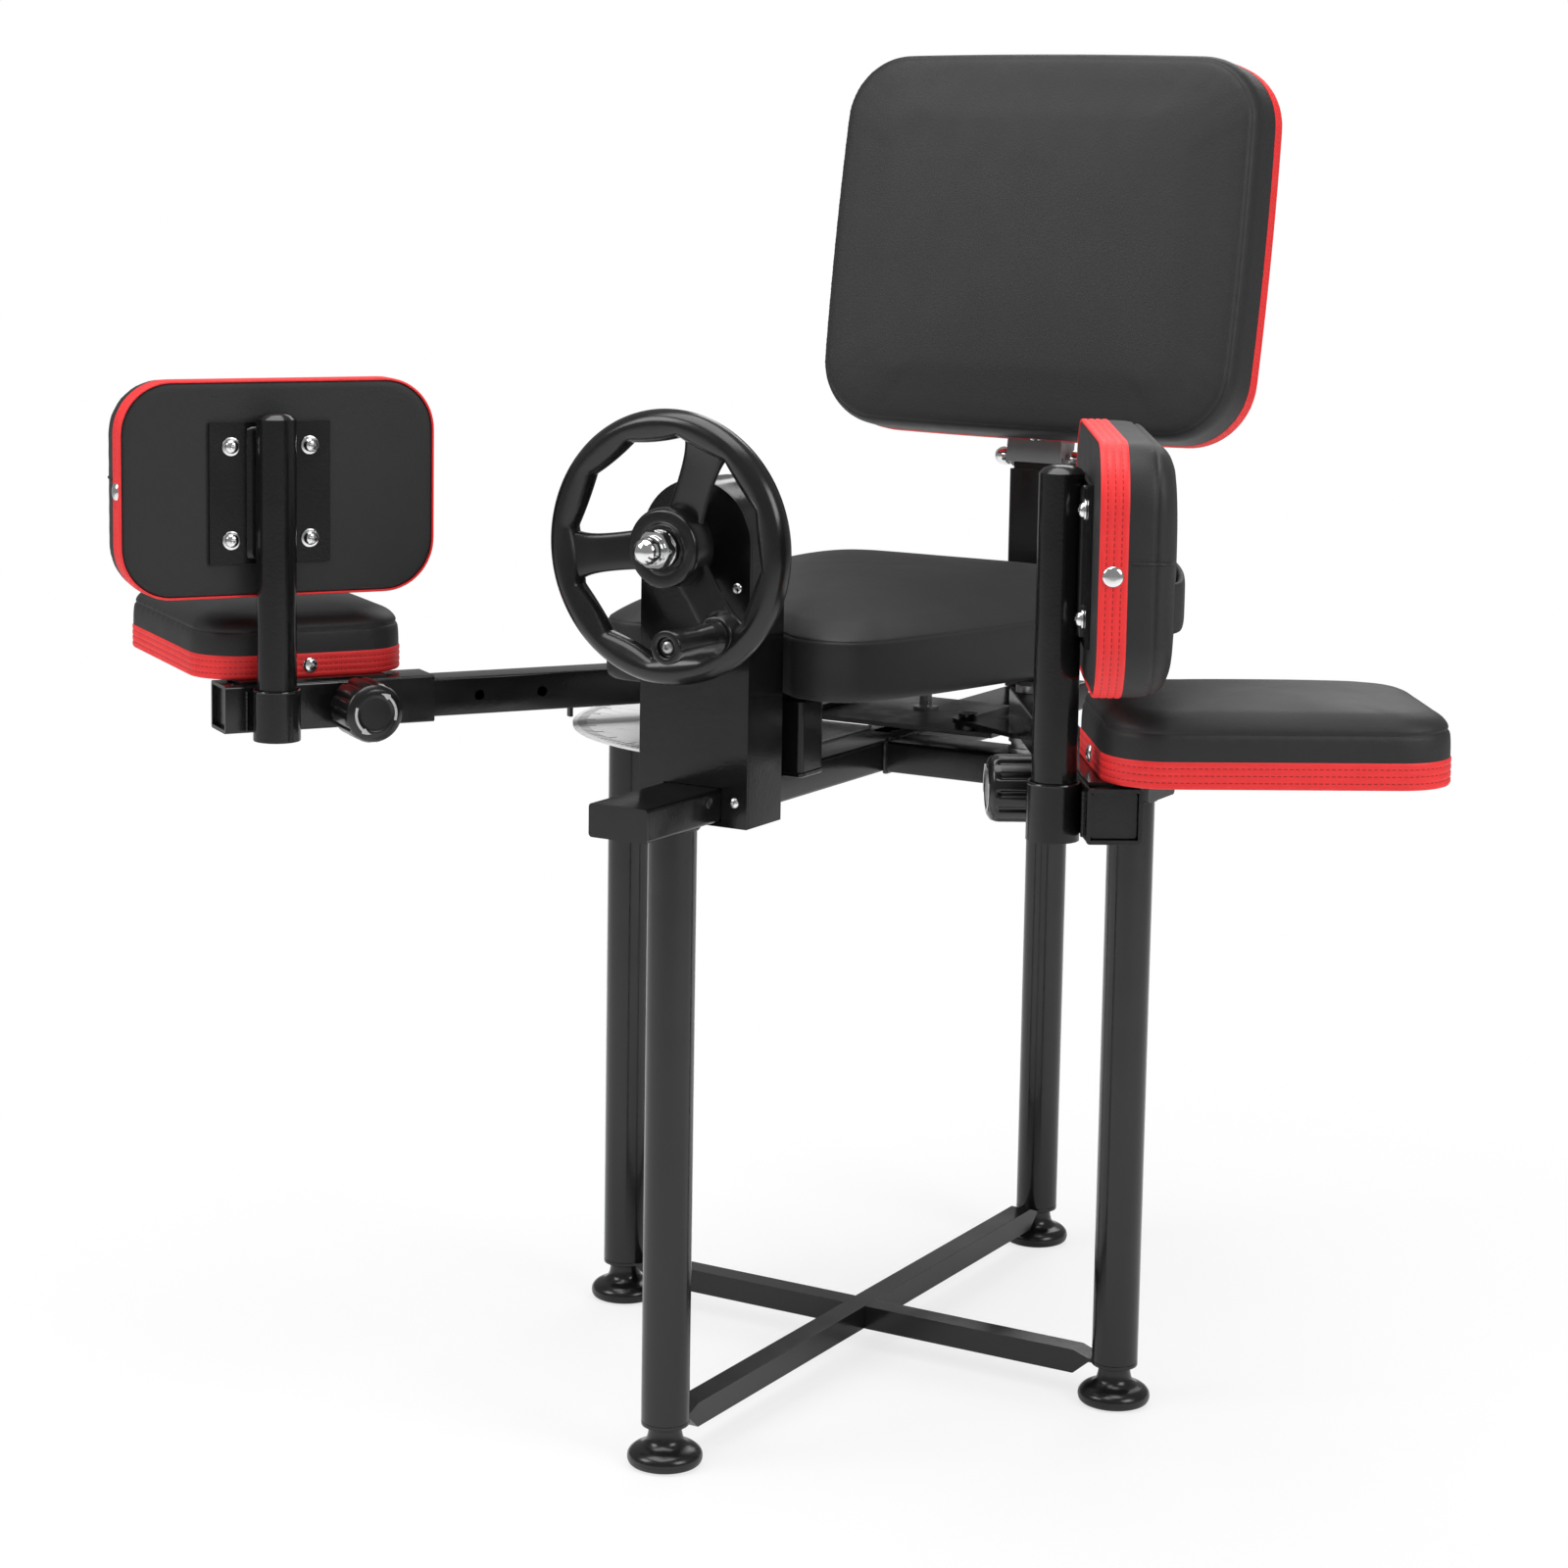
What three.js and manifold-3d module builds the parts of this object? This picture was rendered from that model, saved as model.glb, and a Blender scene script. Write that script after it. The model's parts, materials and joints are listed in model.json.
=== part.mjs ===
// A leg stretching machine: a crossed stand carries a seat, a tilting backrest and two arms with pads.
// A hand wheel turns a lead screw through a chain, and the screw's carriage swings the arms by two links.
// Millimetres, +Z up, the front towards -Y. The origin is the middle of the footprint, on the floor.
import * as THREE from "three";
import { mergeVertices } from "three/addons/utils/BufferGeometryUtils.js";
import Module from "manifold-3d";

const wasm = await Module();
wasm.setup();

// Clearances and overlaps that serve the whole machine
const gap = 0.3;
const running = 0.4;
const overrun = 2;
const weldDepth = 0.5;

// Stand: four round legs on mushroom feet, tied by a cross of square bars
const legRadius = 19;
const legWall = 1.6;
const legFloor = 4;
const frontLegReach = 314;
const rearLegReach = 345;
const sideLegReach = 241;
const footHeight = 32;
const footRadius = 30;
const footShares = [
  [0.85, 0],
  [0.97, 0.07],
  [1, 0.19],
  [0.96, 0.32],
  [0.83, 0.43],
  [0.6, 0.52],
  [0.48, 0.66],
  [0.44, 0.84],
  [0.43, 1],
];
const studRadius = 5;
const studLength = 20;
const braceSize = 20;
const braceLug = 3;
const braceDrop = 12;
const braceTaper = 14;

// Top frame: one long tube and two side tubes, all of one section
const frameBottom = 510;
const frameWidth = 52;
const frameHeight = 26;
const frameWall = 2;
const frameCorner = 3;
const frameFrontReach = 388;
const frameRearReach = 370;
const frameSideReach = 264;
const capThickness = 3;
const capPlug = 12;

// Gearbox on the front of the long tube
const shaftRise = 188;
const housingRadius = 49;
const housingDrop = 4;
const housingFront = 286;
const housingDepth = 52;
const housingWall = 2;
const coverThickness = 2.5;
const chainPitch = 6.35;
const upperTeeth = 22;
const lowerTeeth = 11;
const chainWidth = 6;
const chainHalfHeight = 2.6;
const sprocketHubRadius = 11;
const sprocketHubLength = 12;
const sprocketPlane = 262;

// Hand wheel and its crank grip
const wheelPlane = 324;
const wheelRadius = 105;
const rimWidth = 22;
const rimDepth = 24;
const spokeWidth = 34;
const spokeThickness = 9;
const spokeCount = 3;
const firstSpokeAngle = 60;
const hubRadius = 31;
const hubFront = 11;
const hubBack = 15;
const shaftRadius = 8;
const nutWasherRadius = 16;
const nutWasherThickness = 2.5;
const nutRadius = 13.8;
const nutThickness = 11;
const nutNeckRadius = 9;
const acornRadius = 10.5;
const acornLength = 16;
const acornShares = [
  [0.8, 0.33],
  [0.4, 1],
];
const crankReach = 79;
const crankAngle = -53;
const crankBossRadius = 14;
const crankBossLength = 12;
const gripLength = 67;
const gripEndRadius = 12;
const gripWaistRadius = 10;
const gripRecess = 5;
const gripWaistShares = [0.16, 0.45, 0.86];
const crankScrewRadius = 4;
const crankScrewHeadRadius = 6.6;
const crankScrewHead = 3;

// Lead screw, carriage and links
const screwRadius = 7;
const screwJournalRadius = 5;
const screwFront = 276;
const screwRear = 166;
const bearingThickness = 12;
const frontBearingPlane = 222;
const rearBearingPlane = 156;
const nutLength = 28;
const nutWidth = 40;
const tongueWidth = 14;
const tongueLength = 22;
const carriagePlace = 97;
const carriageForward = 71;
const carriageBack = 32;
const crossheadLift = 4.6;
const crossheadThickness = 4;
const crossheadHalfWidth = 106;
const crossheadFront = 14;
const crossheadRear = 158;
const crossheadChamferX = 46;
const crossheadChamferY = 60;
const carriageBoltRadius = 5.5;
const carriageBoltRise = 51;
const carriageBoltSeat = 9;
const carriageWasherRadius = 11;
const carriageWasherThickness = 2.5;
const linkLength = 90;
const linkWidth = 22;
const linkThickness = 5;
const linkPinRadius = 5;
const linkPinHead = 3.5;
const linkPinHeadRadius = 8;
const linkPinFoot = 3;
const slotInboard = 5.5;
const slotOutboard = 20;
const slotSlack = 3.6;

// Arms: square tubes on upright pivots, with sleeves that carry the pads
const pivotReach = 150;
const armAngle = 33.5;
const armSize = 32;
const armWall = 2;
const armCorner = 2.5;
const armTail = 26;
const armReach = 443;
const armPlug = 10;
const tailRadius = 76;
const tailAngle = 37.3;
const lugThickness = 4;
const lugPivotRadius = 24;
const lugTailRadius = 13;
const pivotRadius = 8;
const pivotCollarRadius = 19;
const pivotHeadRadius = 14;
const pivotHead = 6;
const pivotTail = 16;
const pinHoleRadius = 4.6;
const pinHoleSpacing = 56;
const inwardHoleCount = 3;
const outwardHoleCount = 1;
const pointerWidth = 6;
const pointerDrop = 10;
const pointerPlace = 140;

// Sleeves, pull pins and knobs
const sleeveInner = 269;
const sleeveSize = 39;
const sleeveWall = 3;
const sleeveCorner = 2.5;
const pinPlace = 340;
const barrelRadius = 9;
const barrelLength = 17;
const pinRadius = 4;
const pinTipSetback = 0.2;
const knobRadius = 24.5;
const knobRibDepth = 1.6;
const knobRibCount = 12;
const knobStandOff = 14;
const knobLength = 44;
const knobRecessRadius = 10.5;
const knobRecess = 20;
const knobDome = 4;
const pinInKnob = 12;

// Upright posts and the pads on them
const postPlace = 410;
const sleeveBeyondPost = 37;
const sleeveOuter = postPlace + sleeveBeyondPost;
const postRadius = 16;
const postWall = 2;
const postRise = 241;
const postCapHeight = 6;
const postCapShares = [
  [0.82, 0.55],
  [0.45, 0.9],
];
const socketRadius = 19;
const socketDrop = 23;
const socketHeight = 41;
const padPlateWidth = 100;
const padPlateHeight = 113;
const padPlateThickness = 3;
const padPlateDrop = 3;
const sidePadRise = 178;
const sidePadShift = 9;
const sidePadTall = 173;
const sidePadLong = 261;
const sidePadDepth = 50;
const sidePadCrown = 5;
const padAngleLeft = 0;
const padAngleRight = 4.5;
const padCorner = 40;
const padPull = 2.5;
const padEdge = 7;
const padRingShares = [0.12, 0.45, 0.82];
const padCrownShares = [0.6, 1.8];
const bracketThickness = 3;
const bracketWide = 124;
const bracketNarrow = 70;
const bracketReach = 110;
const calfPadPlace = 372;
const calfPadInner = -7;
const calfPadLong = 246;
const calfPadWide = 177;
const calfPadDepth = 50;
const calfPadCrown = 5;

// Seat, its frame and the scale plate
const seatLift = 67;
const seatHeight = 50;
const seatCrown = 15;
const seatHalfWidth = 182;
const seatFront = 245;
const seatRear = 216;
const seatEdge = 9;
const seatOutlineShares = [
  [0, -0.875],
  [0.17, -0.885],
  [0.34, -0.975],
  [0.5, -1],
  [0.63, -0.95],
  [0.71, -0.83],
  [0.79, -0.64],
  [0.87, -0.4],
  [0.945, -0.14],
  [0.985, 0.12],
  [1, 0.42],
  [0.99, 0.72],
  [0.93, 0.91],
  [0.8, 0.99],
  [0.5, 1],
  [0, 1],
];
const seatPointCount = 44;
const seatRingShares = [0.12, 0.5, 0.85];
const seatCrownShares = [0.3, 0.65, 0.7];
const railReach = 96;
const railWidth = 28;
const railHeight = 32;
const railFront = 216;
const railBar = 28;
const seatPostWidth = 30;
const seatPostDepth = 35;
const seatPlateThickness = 4;
const seatTubeWall = 2;
const scaleRadius = 190;
const scaleMiddleX = -72;
const scaleMiddleY = -3;
const scaleInnerEdge = -13;
const scaleRearEdge = 24;
const scaleNotchGap = 1.5;
const scaleThickness = 2;

// Backrest: a flat tube post, a forked bracket and the cushion
const reclineAngle = 9.5;
const backPivotRise = 212;
const backPostPlace = 313;
const backHeadWidth = 46;
const backHeadDepth = 18;
const backHeadRise = 9;
const backPostSetback = 10.5;
const backBoltRadius = 5;
const backBoltReach = 46;
const backNutRadius = 8;
const backNutLength = 15;
const backNutShares = [
  [0.6, 0.15],
  [0.95, 0.5],
];
const earThickness = 4;
const earRadius = 9.5;
const earDepth = 28;
const webDistance = 14;
const webThickness = 3.5;
const webDrop = 6;
const spineThickness = 4;
const spineHeight = 190;
const spineFoot = 8;
const backPadWidth = 412;
const backPadTall = 343;
const backPadDepth = 59;
const backPadCrown = 8;
const backPadCorner = 62;
const backPadPlane = 6.5;
const backPadRise = 17;

// Heights that follow from the sizes above
const frameTop = frameBottom + frameHeight;
const screwHeight = frameBottom + frameHeight / 2;
const shaftHeight = frameTop + shaftRise;
const linkBottom = frameTop + crossheadLift + crossheadThickness + gap;
const lugBottom = linkBottom + linkThickness + gap;
const armBottom = lugBottom + lugThickness - weldDepth / 2;
const armHeight = armBottom + armSize / 2;
const armTop = armBottom + armSize;
const socketBottom = armHeight - socketDrop;
const sidePadHeight = armHeight + sidePadRise;
const seatBottom = frameTop + seatLift;
const backPivotHeight = frameTop + backPivotRise;

const gloss = { color: 0x1c1c1e, roughness: 0.28, metalness: 0.15 };
const satin = { color: 0x202021, roughness: 0.5, metalness: 0 };
const vinyl = { color: 0x38383a, roughness: 0.62, metalness: 0 };
const chrome = { color: 0xd4d6d8, roughness: 0.16, metalness: 1 };
const steel = { color: 0x8d9093, roughness: 0.38, metalness: 1 };
const silver = { color: 0xc6c8ca, roughness: 0.32, metalness: 1 };

// Adds one named piece to a group.
function addPart(parent, name, geometry, look, x = 0, y = 0, z = 0) {
  const mesh = new THREE.Mesh(geometry, new THREE.MeshStandardMaterial(look));
  mesh.name = name;
  mesh.position.set(x, y, z);
  parent.add(mesh);
  return mesh;
}

// A closed geometry as a solid that can be joined and cut.
function solidOf(geometry) {
  const bare = new THREE.BufferGeometry();
  const flat = geometry.index ? geometry.toNonIndexed() : geometry;
  bare.setAttribute("position", flat.getAttribute("position"));
  const merged = mergeVertices(bare, 1e-3);
  return new wasm.Manifold(
    new wasm.Mesh({
      numProp: 3,
      vertProperties: merged.attributes.position.array,
      triVerts: new Uint32Array(merged.index.array),
    }),
  );
}

// A solid back as a geometry with flat faces.
function geometryOf(solid) {
  const mesh = solid.getMesh();
  const geometry = new THREE.BufferGeometry();
  geometry.setAttribute("position", new THREE.BufferAttribute(mesh.vertProperties, 3));
  geometry.setIndex(new THREE.BufferAttribute(mesh.triVerts, 1));
  const flat = geometry.toNonIndexed();
  flat.computeVertexNormals();
  return flat;
}

// Joins the first list of geometries into one body, then cuts the second list out of it.
function built(joined, cuts = []) {
  let solid = solidOf(joined[0]);
  joined.slice(1).forEach((g) => (solid = solid.add(solidOf(g))));
  cuts.forEach((g) => (solid = solid.subtract(solidOf(g))));
  return geometryOf(solid);
}

function block(width, depth, height, x = 0, y = 0, z = 0) {
  return new THREE.BoxGeometry(width, depth, height).translate(x, y, z);
}

// Round bars along each axis, centred on the given place.
function barZ(radius, length, x = 0, y = 0, z = 0, sides = 24) {
  return new THREE.CylinderGeometry(radius, radius, length, sides).rotateX(Math.PI / 2).translate(x, y, z);
}

function barY(radius, length, x = 0, y = 0, z = 0, sides = 24) {
  return new THREE.CylinderGeometry(radius, radius, length, sides).translate(x, y, z);
}

function barX(radius, length, x = 0, y = 0, z = 0, sides = 24) {
  return new THREE.CylinderGeometry(radius, radius, length, sides).rotateZ(Math.PI / 2).translate(x, y, z);
}

// A profile of [radius, height] points turned about +Z, listed so that its outside is walked upwards.
function turned(profile, sides = 32) {
  const points = profile.map(([r, z]) => new THREE.Vector2(r, z));
  return new THREE.LatheGeometry(points, sides).rotateX(Math.PI / 2);
}

// A closed outline of [x, y] points as a shape.
function outlined(points) {
  return new THREE.Shape(points.map(([x, y]) => new THREE.Vector2(x, y)));
}

// A rectangle with round corners, centred on the origin.
function roundedRectangle(width, height, corner) {
  const shape = new THREE.Shape();
  const x = width / 2 - corner;
  const y = height / 2 - corner;
  shape.absarc(x, y, corner, 0, Math.PI / 2);
  shape.absarc(-x, y, corner, Math.PI / 2, Math.PI);
  shape.absarc(-x, -y, corner, Math.PI, Math.PI * 1.5);
  shape.absarc(x, -y, corner, Math.PI * 1.5, Math.PI * 2);
  return shape;
}

// A shape pushed up along +Z from 0.
function pushed(shape, height, curveSegments = 3) {
  return new THREE.ExtrudeGeometry(shape, { depth: height, bevelEnabled: false, curveSegments });
}

// A rectangular tube along +Z from 0 with round outer corners.
function boxTube(width, height, wall, corner, length) {
  const shape = roundedRectangle(width, height, corner);
  const inner = outlined([
    [-width / 2 + wall, -height / 2 + wall],
    [width / 2 - wall, -height / 2 + wall],
    [width / 2 - wall, height / 2 - wall],
    [-width / 2 + wall, height / 2 - wall],
  ]);
  shape.holes.push(inner);
  return pushed(shape, length);
}

// Lays a geometry that stands along +Z down, so that it runs along +Y with its own y upwards.
function laidAlongY(geometry) {
  return geometry.rotateX(Math.PI / 2).rotateZ(Math.PI);
}

// Lays a geometry that stands along +Z down, so that it runs along +X with its own y upwards.
function laidAlongX(geometry) {
  return laidAlongY(geometry).rotateZ(-Math.PI / 2);
}

function leg(height) {
  const inner = legRadius - legWall;
  const bore = studRadius + running;
  return turned(
    [
      [bore, 0],
      [legRadius, 0],
      [legRadius, height],
      [inner, height],
      [inner, legFloor],
      [bore, legFloor],
      [bore, 0],
    ],
    20,
  );
}

function foot() {
  const outside = footShares.map(([across, up]) => [footRadius * across, footHeight * up]);
  return turned(
    [
      [0, 0],
      ...outside,
      [studRadius, footHeight],
      [studRadius, footHeight + studLength],
      [0, footHeight + studLength],
    ],
    18,
  );
}

// One arm of the lower cross along +Y: a square bar whose end is pressed flat into a lug under the leg.
function braceArm(start, reach) {
  const barEnd = reach - legRadius - gap;
  const lugEnd = barEnd + legRadius / 2;
  const profile = outlined([
    [start, -braceDrop],
    [barEnd - braceTaper, -braceDrop],
    [barEnd, 0],
    [lugEnd, 0],
    [lugEnd, braceLug],
    [barEnd, braceLug],
    [barEnd - braceTaper, braceSize - braceDrop],
    [start, braceSize - braceDrop],
  ]);
  const bar = pushed(profile, braceSize)
    .translate(0, 0, -braceSize / 2)
    .rotateX(Math.PI / 2)
    .rotateZ(Math.PI / 2);
  return [bar, barZ(legRadius, braceLug, 0, reach, braceLug / 2)];
}

function studHole(reach) {
  return barZ(studRadius + running, braceLug + overrun, 0, reach, braceLug / 2, 14);
}

function longBrace() {
  const rear = braceArm(0, rearLegReach);
  const front = braceArm(0, frontLegReach).map((g) => g.rotateZ(Math.PI));
  const holes = [studHole(rearLegReach), studHole(-frontLegReach)];
  return built([...rear, ...front], holes);
}

function shortBrace() {
  return built(braceArm(braceSize / 2 + gap, sideLegReach), [studHole(sideLegReach)]);
}

function buildStand(machine) {
  const braceBottom = footHeight + gap;
  const legBottom = braceBottom + braceLug + gap;
  const legHeight = frameBottom - gap - legBottom;
  const places = {
    front: [0, -frontLegReach],
    rear: [0, rearLegReach],
    left: [-sideLegReach, 0],
    right: [sideLegReach, 0],
  };
  for (const [name, [x, y]] of Object.entries(places)) {
    addPart(machine, name + "_leg", leg(legHeight), gloss, x, y, legBottom);
    addPart(machine, name + "_foot", foot(), satin, x, y, 0);
  }
  addPart(machine, "long_brace", longBrace(), gloss, 0, 0, braceBottom);
  addPart(machine, "left_brace", shortBrace().rotateZ(Math.PI / 2), gloss, 0, 0, braceBottom);
  addPart(machine, "right_brace", shortBrace().rotateZ(-Math.PI / 2), gloss, 0, 0, braceBottom);
}

// The long tube, with a slot for the carriage and windows for the chain and its lower sprocket.
function longTube() {
  const length = frameFrontReach + frameRearReach;
  const tube = laidAlongY(boxTube(frameWidth, frameHeight, frameWall, frameCorner, length));
  tube.translate(0, -frameFrontReach, screwHeight);
  const slotLength = tongueLength + carriageForward + carriageBack + overrun * 2;
  const slotMiddle = carriagePlace + (carriageBack - carriageForward) / 2;
  const slot = block(tongueWidth + overrun, slotLength, frameHeight, 0, slotMiddle, frameTop);
  const windowWidth = (pitchRadius(lowerTeeth) + chainHalfHeight + overrun) * 2;
  const windowLength = sprocketHubLength + overrun * 2;
  const tall = frameHeight + overrun;
  const window = block(windowWidth, windowLength, tall, 0, -sprocketPlane, screwHeight);
  return built([tube], [slot, window]);
}

// A side tube along +X from the long tube, with the hole for its arm's pivot.
function sideTube() {
  const start = frameWidth / 2 + gap;
  const tube = laidAlongX(boxTube(frameWidth, frameHeight, frameWall, frameCorner, frameSideReach - start));
  tube.translate(start, 0, screwHeight);
  return built([tube], [barZ(pivotRadius + running, frameHeight, pivotReach, 0, frameTop)]);
}

// A plastic end cap facing +Y: a plate with the tube's outline and a plug inside the tube.
function endCap() {
  const plate = laidAlongY(pushed(roundedRectangle(frameWidth, frameHeight, frameCorner), capThickness));
  plate.translate(0, gap, 0);
  const plugWidth = frameWidth - (frameWall + gap) * 2;
  const plugHeight = frameHeight - (frameWall + gap) * 2;
  const plug = block(plugWidth, capPlug, plugHeight, 0, gap + weldDepth - capPlug / 2, 0);
  return built([plate, plug]);
}

function buildTopFrame(machine) {
  addPart(machine, "long_tube", longTube(), gloss);
  addPart(machine, "front_cap", endCap().rotateZ(Math.PI), satin, 0, -frameFrontReach, screwHeight);
  addPart(machine, "rear_cap", endCap(), satin, 0, frameRearReach, screwHeight);
  addPart(machine, "left_tube", sideTube().rotateZ(Math.PI), gloss);
  addPart(machine, "right_tube", sideTube(), gloss);
  addPart(machine, "left_cap", endCap().rotateZ(Math.PI / 2), satin, -frameSideReach, 0, screwHeight);
  addPart(machine, "right_cap", endCap().rotateZ(-Math.PI / 2), satin, frameSideReach, 0, screwHeight);
}

function pitchRadius(teeth) {
  return chainPitch / (2 * Math.sin(Math.PI / teeth));
}

// The gearbox outline as seen from the front: square below, round above, drawn about the wheel shaft.
function housingOutline(inset) {
  const radius = housingRadius - inset;
  const drop = shaftHeight - frameBottom + housingDrop - inset;
  const shape = new THREE.Shape();
  shape.moveTo(-radius, -drop);
  shape.lineTo(radius, -drop);
  shape.absarc(0, 0, radius, 0, Math.PI);
  return shape;
}

// Stands a shape up, so that it is pushed from the plane y = 0 towards +Y.
function standing(shape, depth, curveSegments = 16) {
  return laidAlongY(pushed(shape, depth, curveSegments));
}

function tubePassage(length) {
  const size = overrun / 4;
  const middle = screwHeight - shaftHeight;
  return block(frameWidth + size, length, frameHeight + size, 0, 0, middle);
}

function housing() {
  const depth = housingDepth - coverThickness - gap;
  const front = -housingFront + coverThickness + gap;
  const shell = standing(housingOutline(0), depth).translate(0, front, 0);
  const hollow = standing(housingOutline(housingWall), depth).translate(0, front - housingWall, 0);
  const shaftHole = barY(shaftRadius + running, depth, 0, front + depth, 0);
  const passage = tubePassage(housingWall * 4).translate(0, front + depth, 0);
  return built([shell], [hollow, shaftHole, passage]);
}

function cover() {
  const plate = standing(housingOutline(0), coverThickness).translate(0, -housingFront, 0);
  const shaftHole = barY(shaftRadius + running, coverThickness * 4, 0, -housingFront, 0);
  const passage = tubePassage(coverThickness * 4).translate(0, -housingFront, 0);
  return built([plate], [shaftHole, passage]);
}

function sprocket(teeth, bore) {
  const disc = pitchRadius(teeth) - chainHalfHeight - gap;
  const hub = Math.min(sprocketHubRadius, disc - gap);
  const halfWidth = chainWidth / 2;
  const halfHub = sprocketHubLength / 2;
  return turned(
    [
      [bore, -halfHub],
      [hub, -halfHub],
      [hub, -halfWidth],
      [disc, -halfWidth],
      [disc, halfWidth],
      [hub, halfWidth],
      [hub, halfHub],
      [bore, halfHub],
      [bore, -halfHub],
    ],
    18,
  ).rotateX(Math.PI / 2);
}

// The closed line round both sprockets, moved outwards by an offset.
function chainLine(shape, offset) {
  const upper = pitchRadius(upperTeeth) + offset;
  const lower = pitchRadius(lowerTeeth) + offset;
  const span = shaftHeight - screwHeight;
  const lean = Math.asin((upper - lower) / span);
  shape.absarc(0, 0, upper, -lean, Math.PI + lean);
  shape.absarc(0, -span, lower, Math.PI + lean, Math.PI * 2 - lean);
  return shape;
}

function chain() {
  const loop = chainLine(new THREE.Shape(), chainHalfHeight);
  loop.holes.push(chainLine(new THREE.Path(), -chainHalfHeight));
  return standing(loop, chainWidth, 9).translate(0, -sprocketPlane - chainWidth / 2, 0);
}

function buildGearbox(machine) {
  const upper = sprocket(upperTeeth, shaftRadius + gap);
  const lower = sprocket(lowerTeeth, screwJournalRadius + gap);
  addPart(machine, "gearbox_housing", housing(), gloss, 0, 0, shaftHeight);
  addPart(machine, "gearbox_cover", cover(), gloss, 0, 0, shaftHeight);
  addPart(machine, "upper_sprocket", upper, steel, 0, -sprocketPlane, shaftHeight);
  addPart(machine, "lower_sprocket", lower, steel, 0, -sprocketPlane, screwHeight);
  addPart(machine, "drive_chain", chain(), steel, 0, 0, shaftHeight);
}

// The hand wheel about its own middle, its front towards -Y.
function handWheel() {
  const rimMiddle = wheelRadius - rimWidth / 2;
  const rimPointCount = 8;
  const section = [];
  for (let i = 0; i <= rimPointCount; i += 1) {
    const a = (Math.PI * 2 * i) / rimPointCount;
    section.push([rimMiddle + (Math.cos(a) * rimWidth) / 2, (Math.sin(a) * rimDepth) / 2]);
  }
  const rim = turned(section, 32).rotateX(Math.PI / 2);
  const hubLength = hubFront + hubBack;
  const hub = barY(hubRadius, hubLength, 0, (hubBack - hubFront) / 2, 0, 28);
  const spokes = [];
  for (let i = 0; i < spokeCount; i += 1) {
    const spoke = block(rimMiddle, spokeThickness, spokeWidth, rimMiddle / 2, 0, 0);
    spokes.push(spoke.rotateY(-turn(firstSpokeAngle + (360 * i) / spokeCount)));
  }
  const [crankX, crankZ] = crankPlace();
  const boss = barY(crankBossRadius, crankBossLength, crankX, -crankBossLength / 2, crankZ);
  const bore = barY(shaftRadius + gap, hubLength * 2);
  const screwHole = barY(crankScrewRadius + gap, crankBossLength * 2, crankX, -crankBossLength, crankZ, 16);
  return built([rim, hub, ...spokes, boss], [bore, screwHole]);
}

function turn(degrees) {
  return THREE.MathUtils.degToRad(degrees);
}

function crankPlace() {
  return [crankReach * Math.cos(turn(crankAngle)), crankReach * Math.sin(turn(crankAngle))];
}

// Washer, hexagon nut and acorn nut on the end of the wheel shaft, turned about -Y from the hub's front face.
function wheelNut() {
  const washer = barZ(nutWasherRadius, nutWasherThickness, 0, 0, nutWasherThickness / 2);
  const hexagon = barZ(nutRadius, nutThickness, 0, 0, nutWasherThickness + nutThickness / 2 - weldDepth, 6);
  const start = nutWasherThickness + nutThickness - weldDepth * 2;
  const domeStart = acornLength / 2;
  const acorn = turned([
    [0, start],
    [nutNeckRadius, start],
    [nutNeckRadius, start + domeStart / 2],
    [acornRadius, start + domeStart / 2],
    [acornRadius, start + domeStart],
    ...acornShares.map(([across, up]) => [acornRadius * across, start + domeStart + domeStart * up]),
    [0, start + acornLength],
  ], 14);
  const bore = barZ(shaftRadius + gap, nutThickness * 2, 0, 0, 0, 20);
  return built([washer, hexagon, acorn], [bore]).rotateX(Math.PI / 2);
}

function crankGrip() {
  const bore = crankScrewRadius + running;
  const recess = crankScrewHeadRadius + running;
  const [neckShare, waistShare, endShare] = gripWaistShares;
  return turned([
    [bore, 0],
    [crankBossRadius, 0],
    [crankBossRadius, overrun],
    [gripWaistRadius + overrun / 2, gripLength * neckShare],
    [gripWaistRadius, gripLength * waistShare],
    [gripEndRadius, gripLength * endShare],
    [gripEndRadius, gripLength - overrun],
    [gripEndRadius - overrun, gripLength],
    [recess, gripLength],
    [recess, gripLength - gripRecess],
    [bore, gripLength - gripRecess],
    [bore, 0],
  ], 16).rotateX(Math.PI / 2);
}

function crankScrew() {
  const shank = gripLength - gripRecess + gap * 2;
  const foot = -crankBossLength / 2;
  return turned([
    [0, foot],
    [crankScrewRadius, foot],
    [crankScrewRadius, shank],
    [crankScrewHeadRadius, shank],
    [crankScrewHeadRadius, shank + crankScrewHead],
    [0, shank + crankScrewHead],
  ], 16).rotateX(Math.PI / 2);
}

function buildWheel(machine) {
  const [crankX, crankZ] = crankPlace();
  const hubFace = wheelPlane + hubFront;
  const shaftBack = housingFront - housingDepth;
  const shaftFront = hubFace + nutThickness - overrun;
  const shaft = barY(shaftRadius, shaftFront - shaftBack, 0, -(shaftFront + shaftBack) / 2, 0);
  const gripStart = wheelPlane + crankBossLength + gap;
  addPart(machine, "wheel_shaft", shaft, steel, 0, 0, shaftHeight);
  addPart(machine, "hand_wheel", handWheel(), satin, 0, -wheelPlane, shaftHeight);
  addPart(machine, "wheel_nut", wheelNut(), chrome, 0, -hubFace - gap, shaftHeight);
  addPart(machine, "crank_grip", crankGrip(), satin, crankX, -gripStart, shaftHeight + crankZ);
  addPart(machine, "crank_screw", crankScrew(), chrome, crankX, -gripStart, shaftHeight + crankZ);
}

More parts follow.
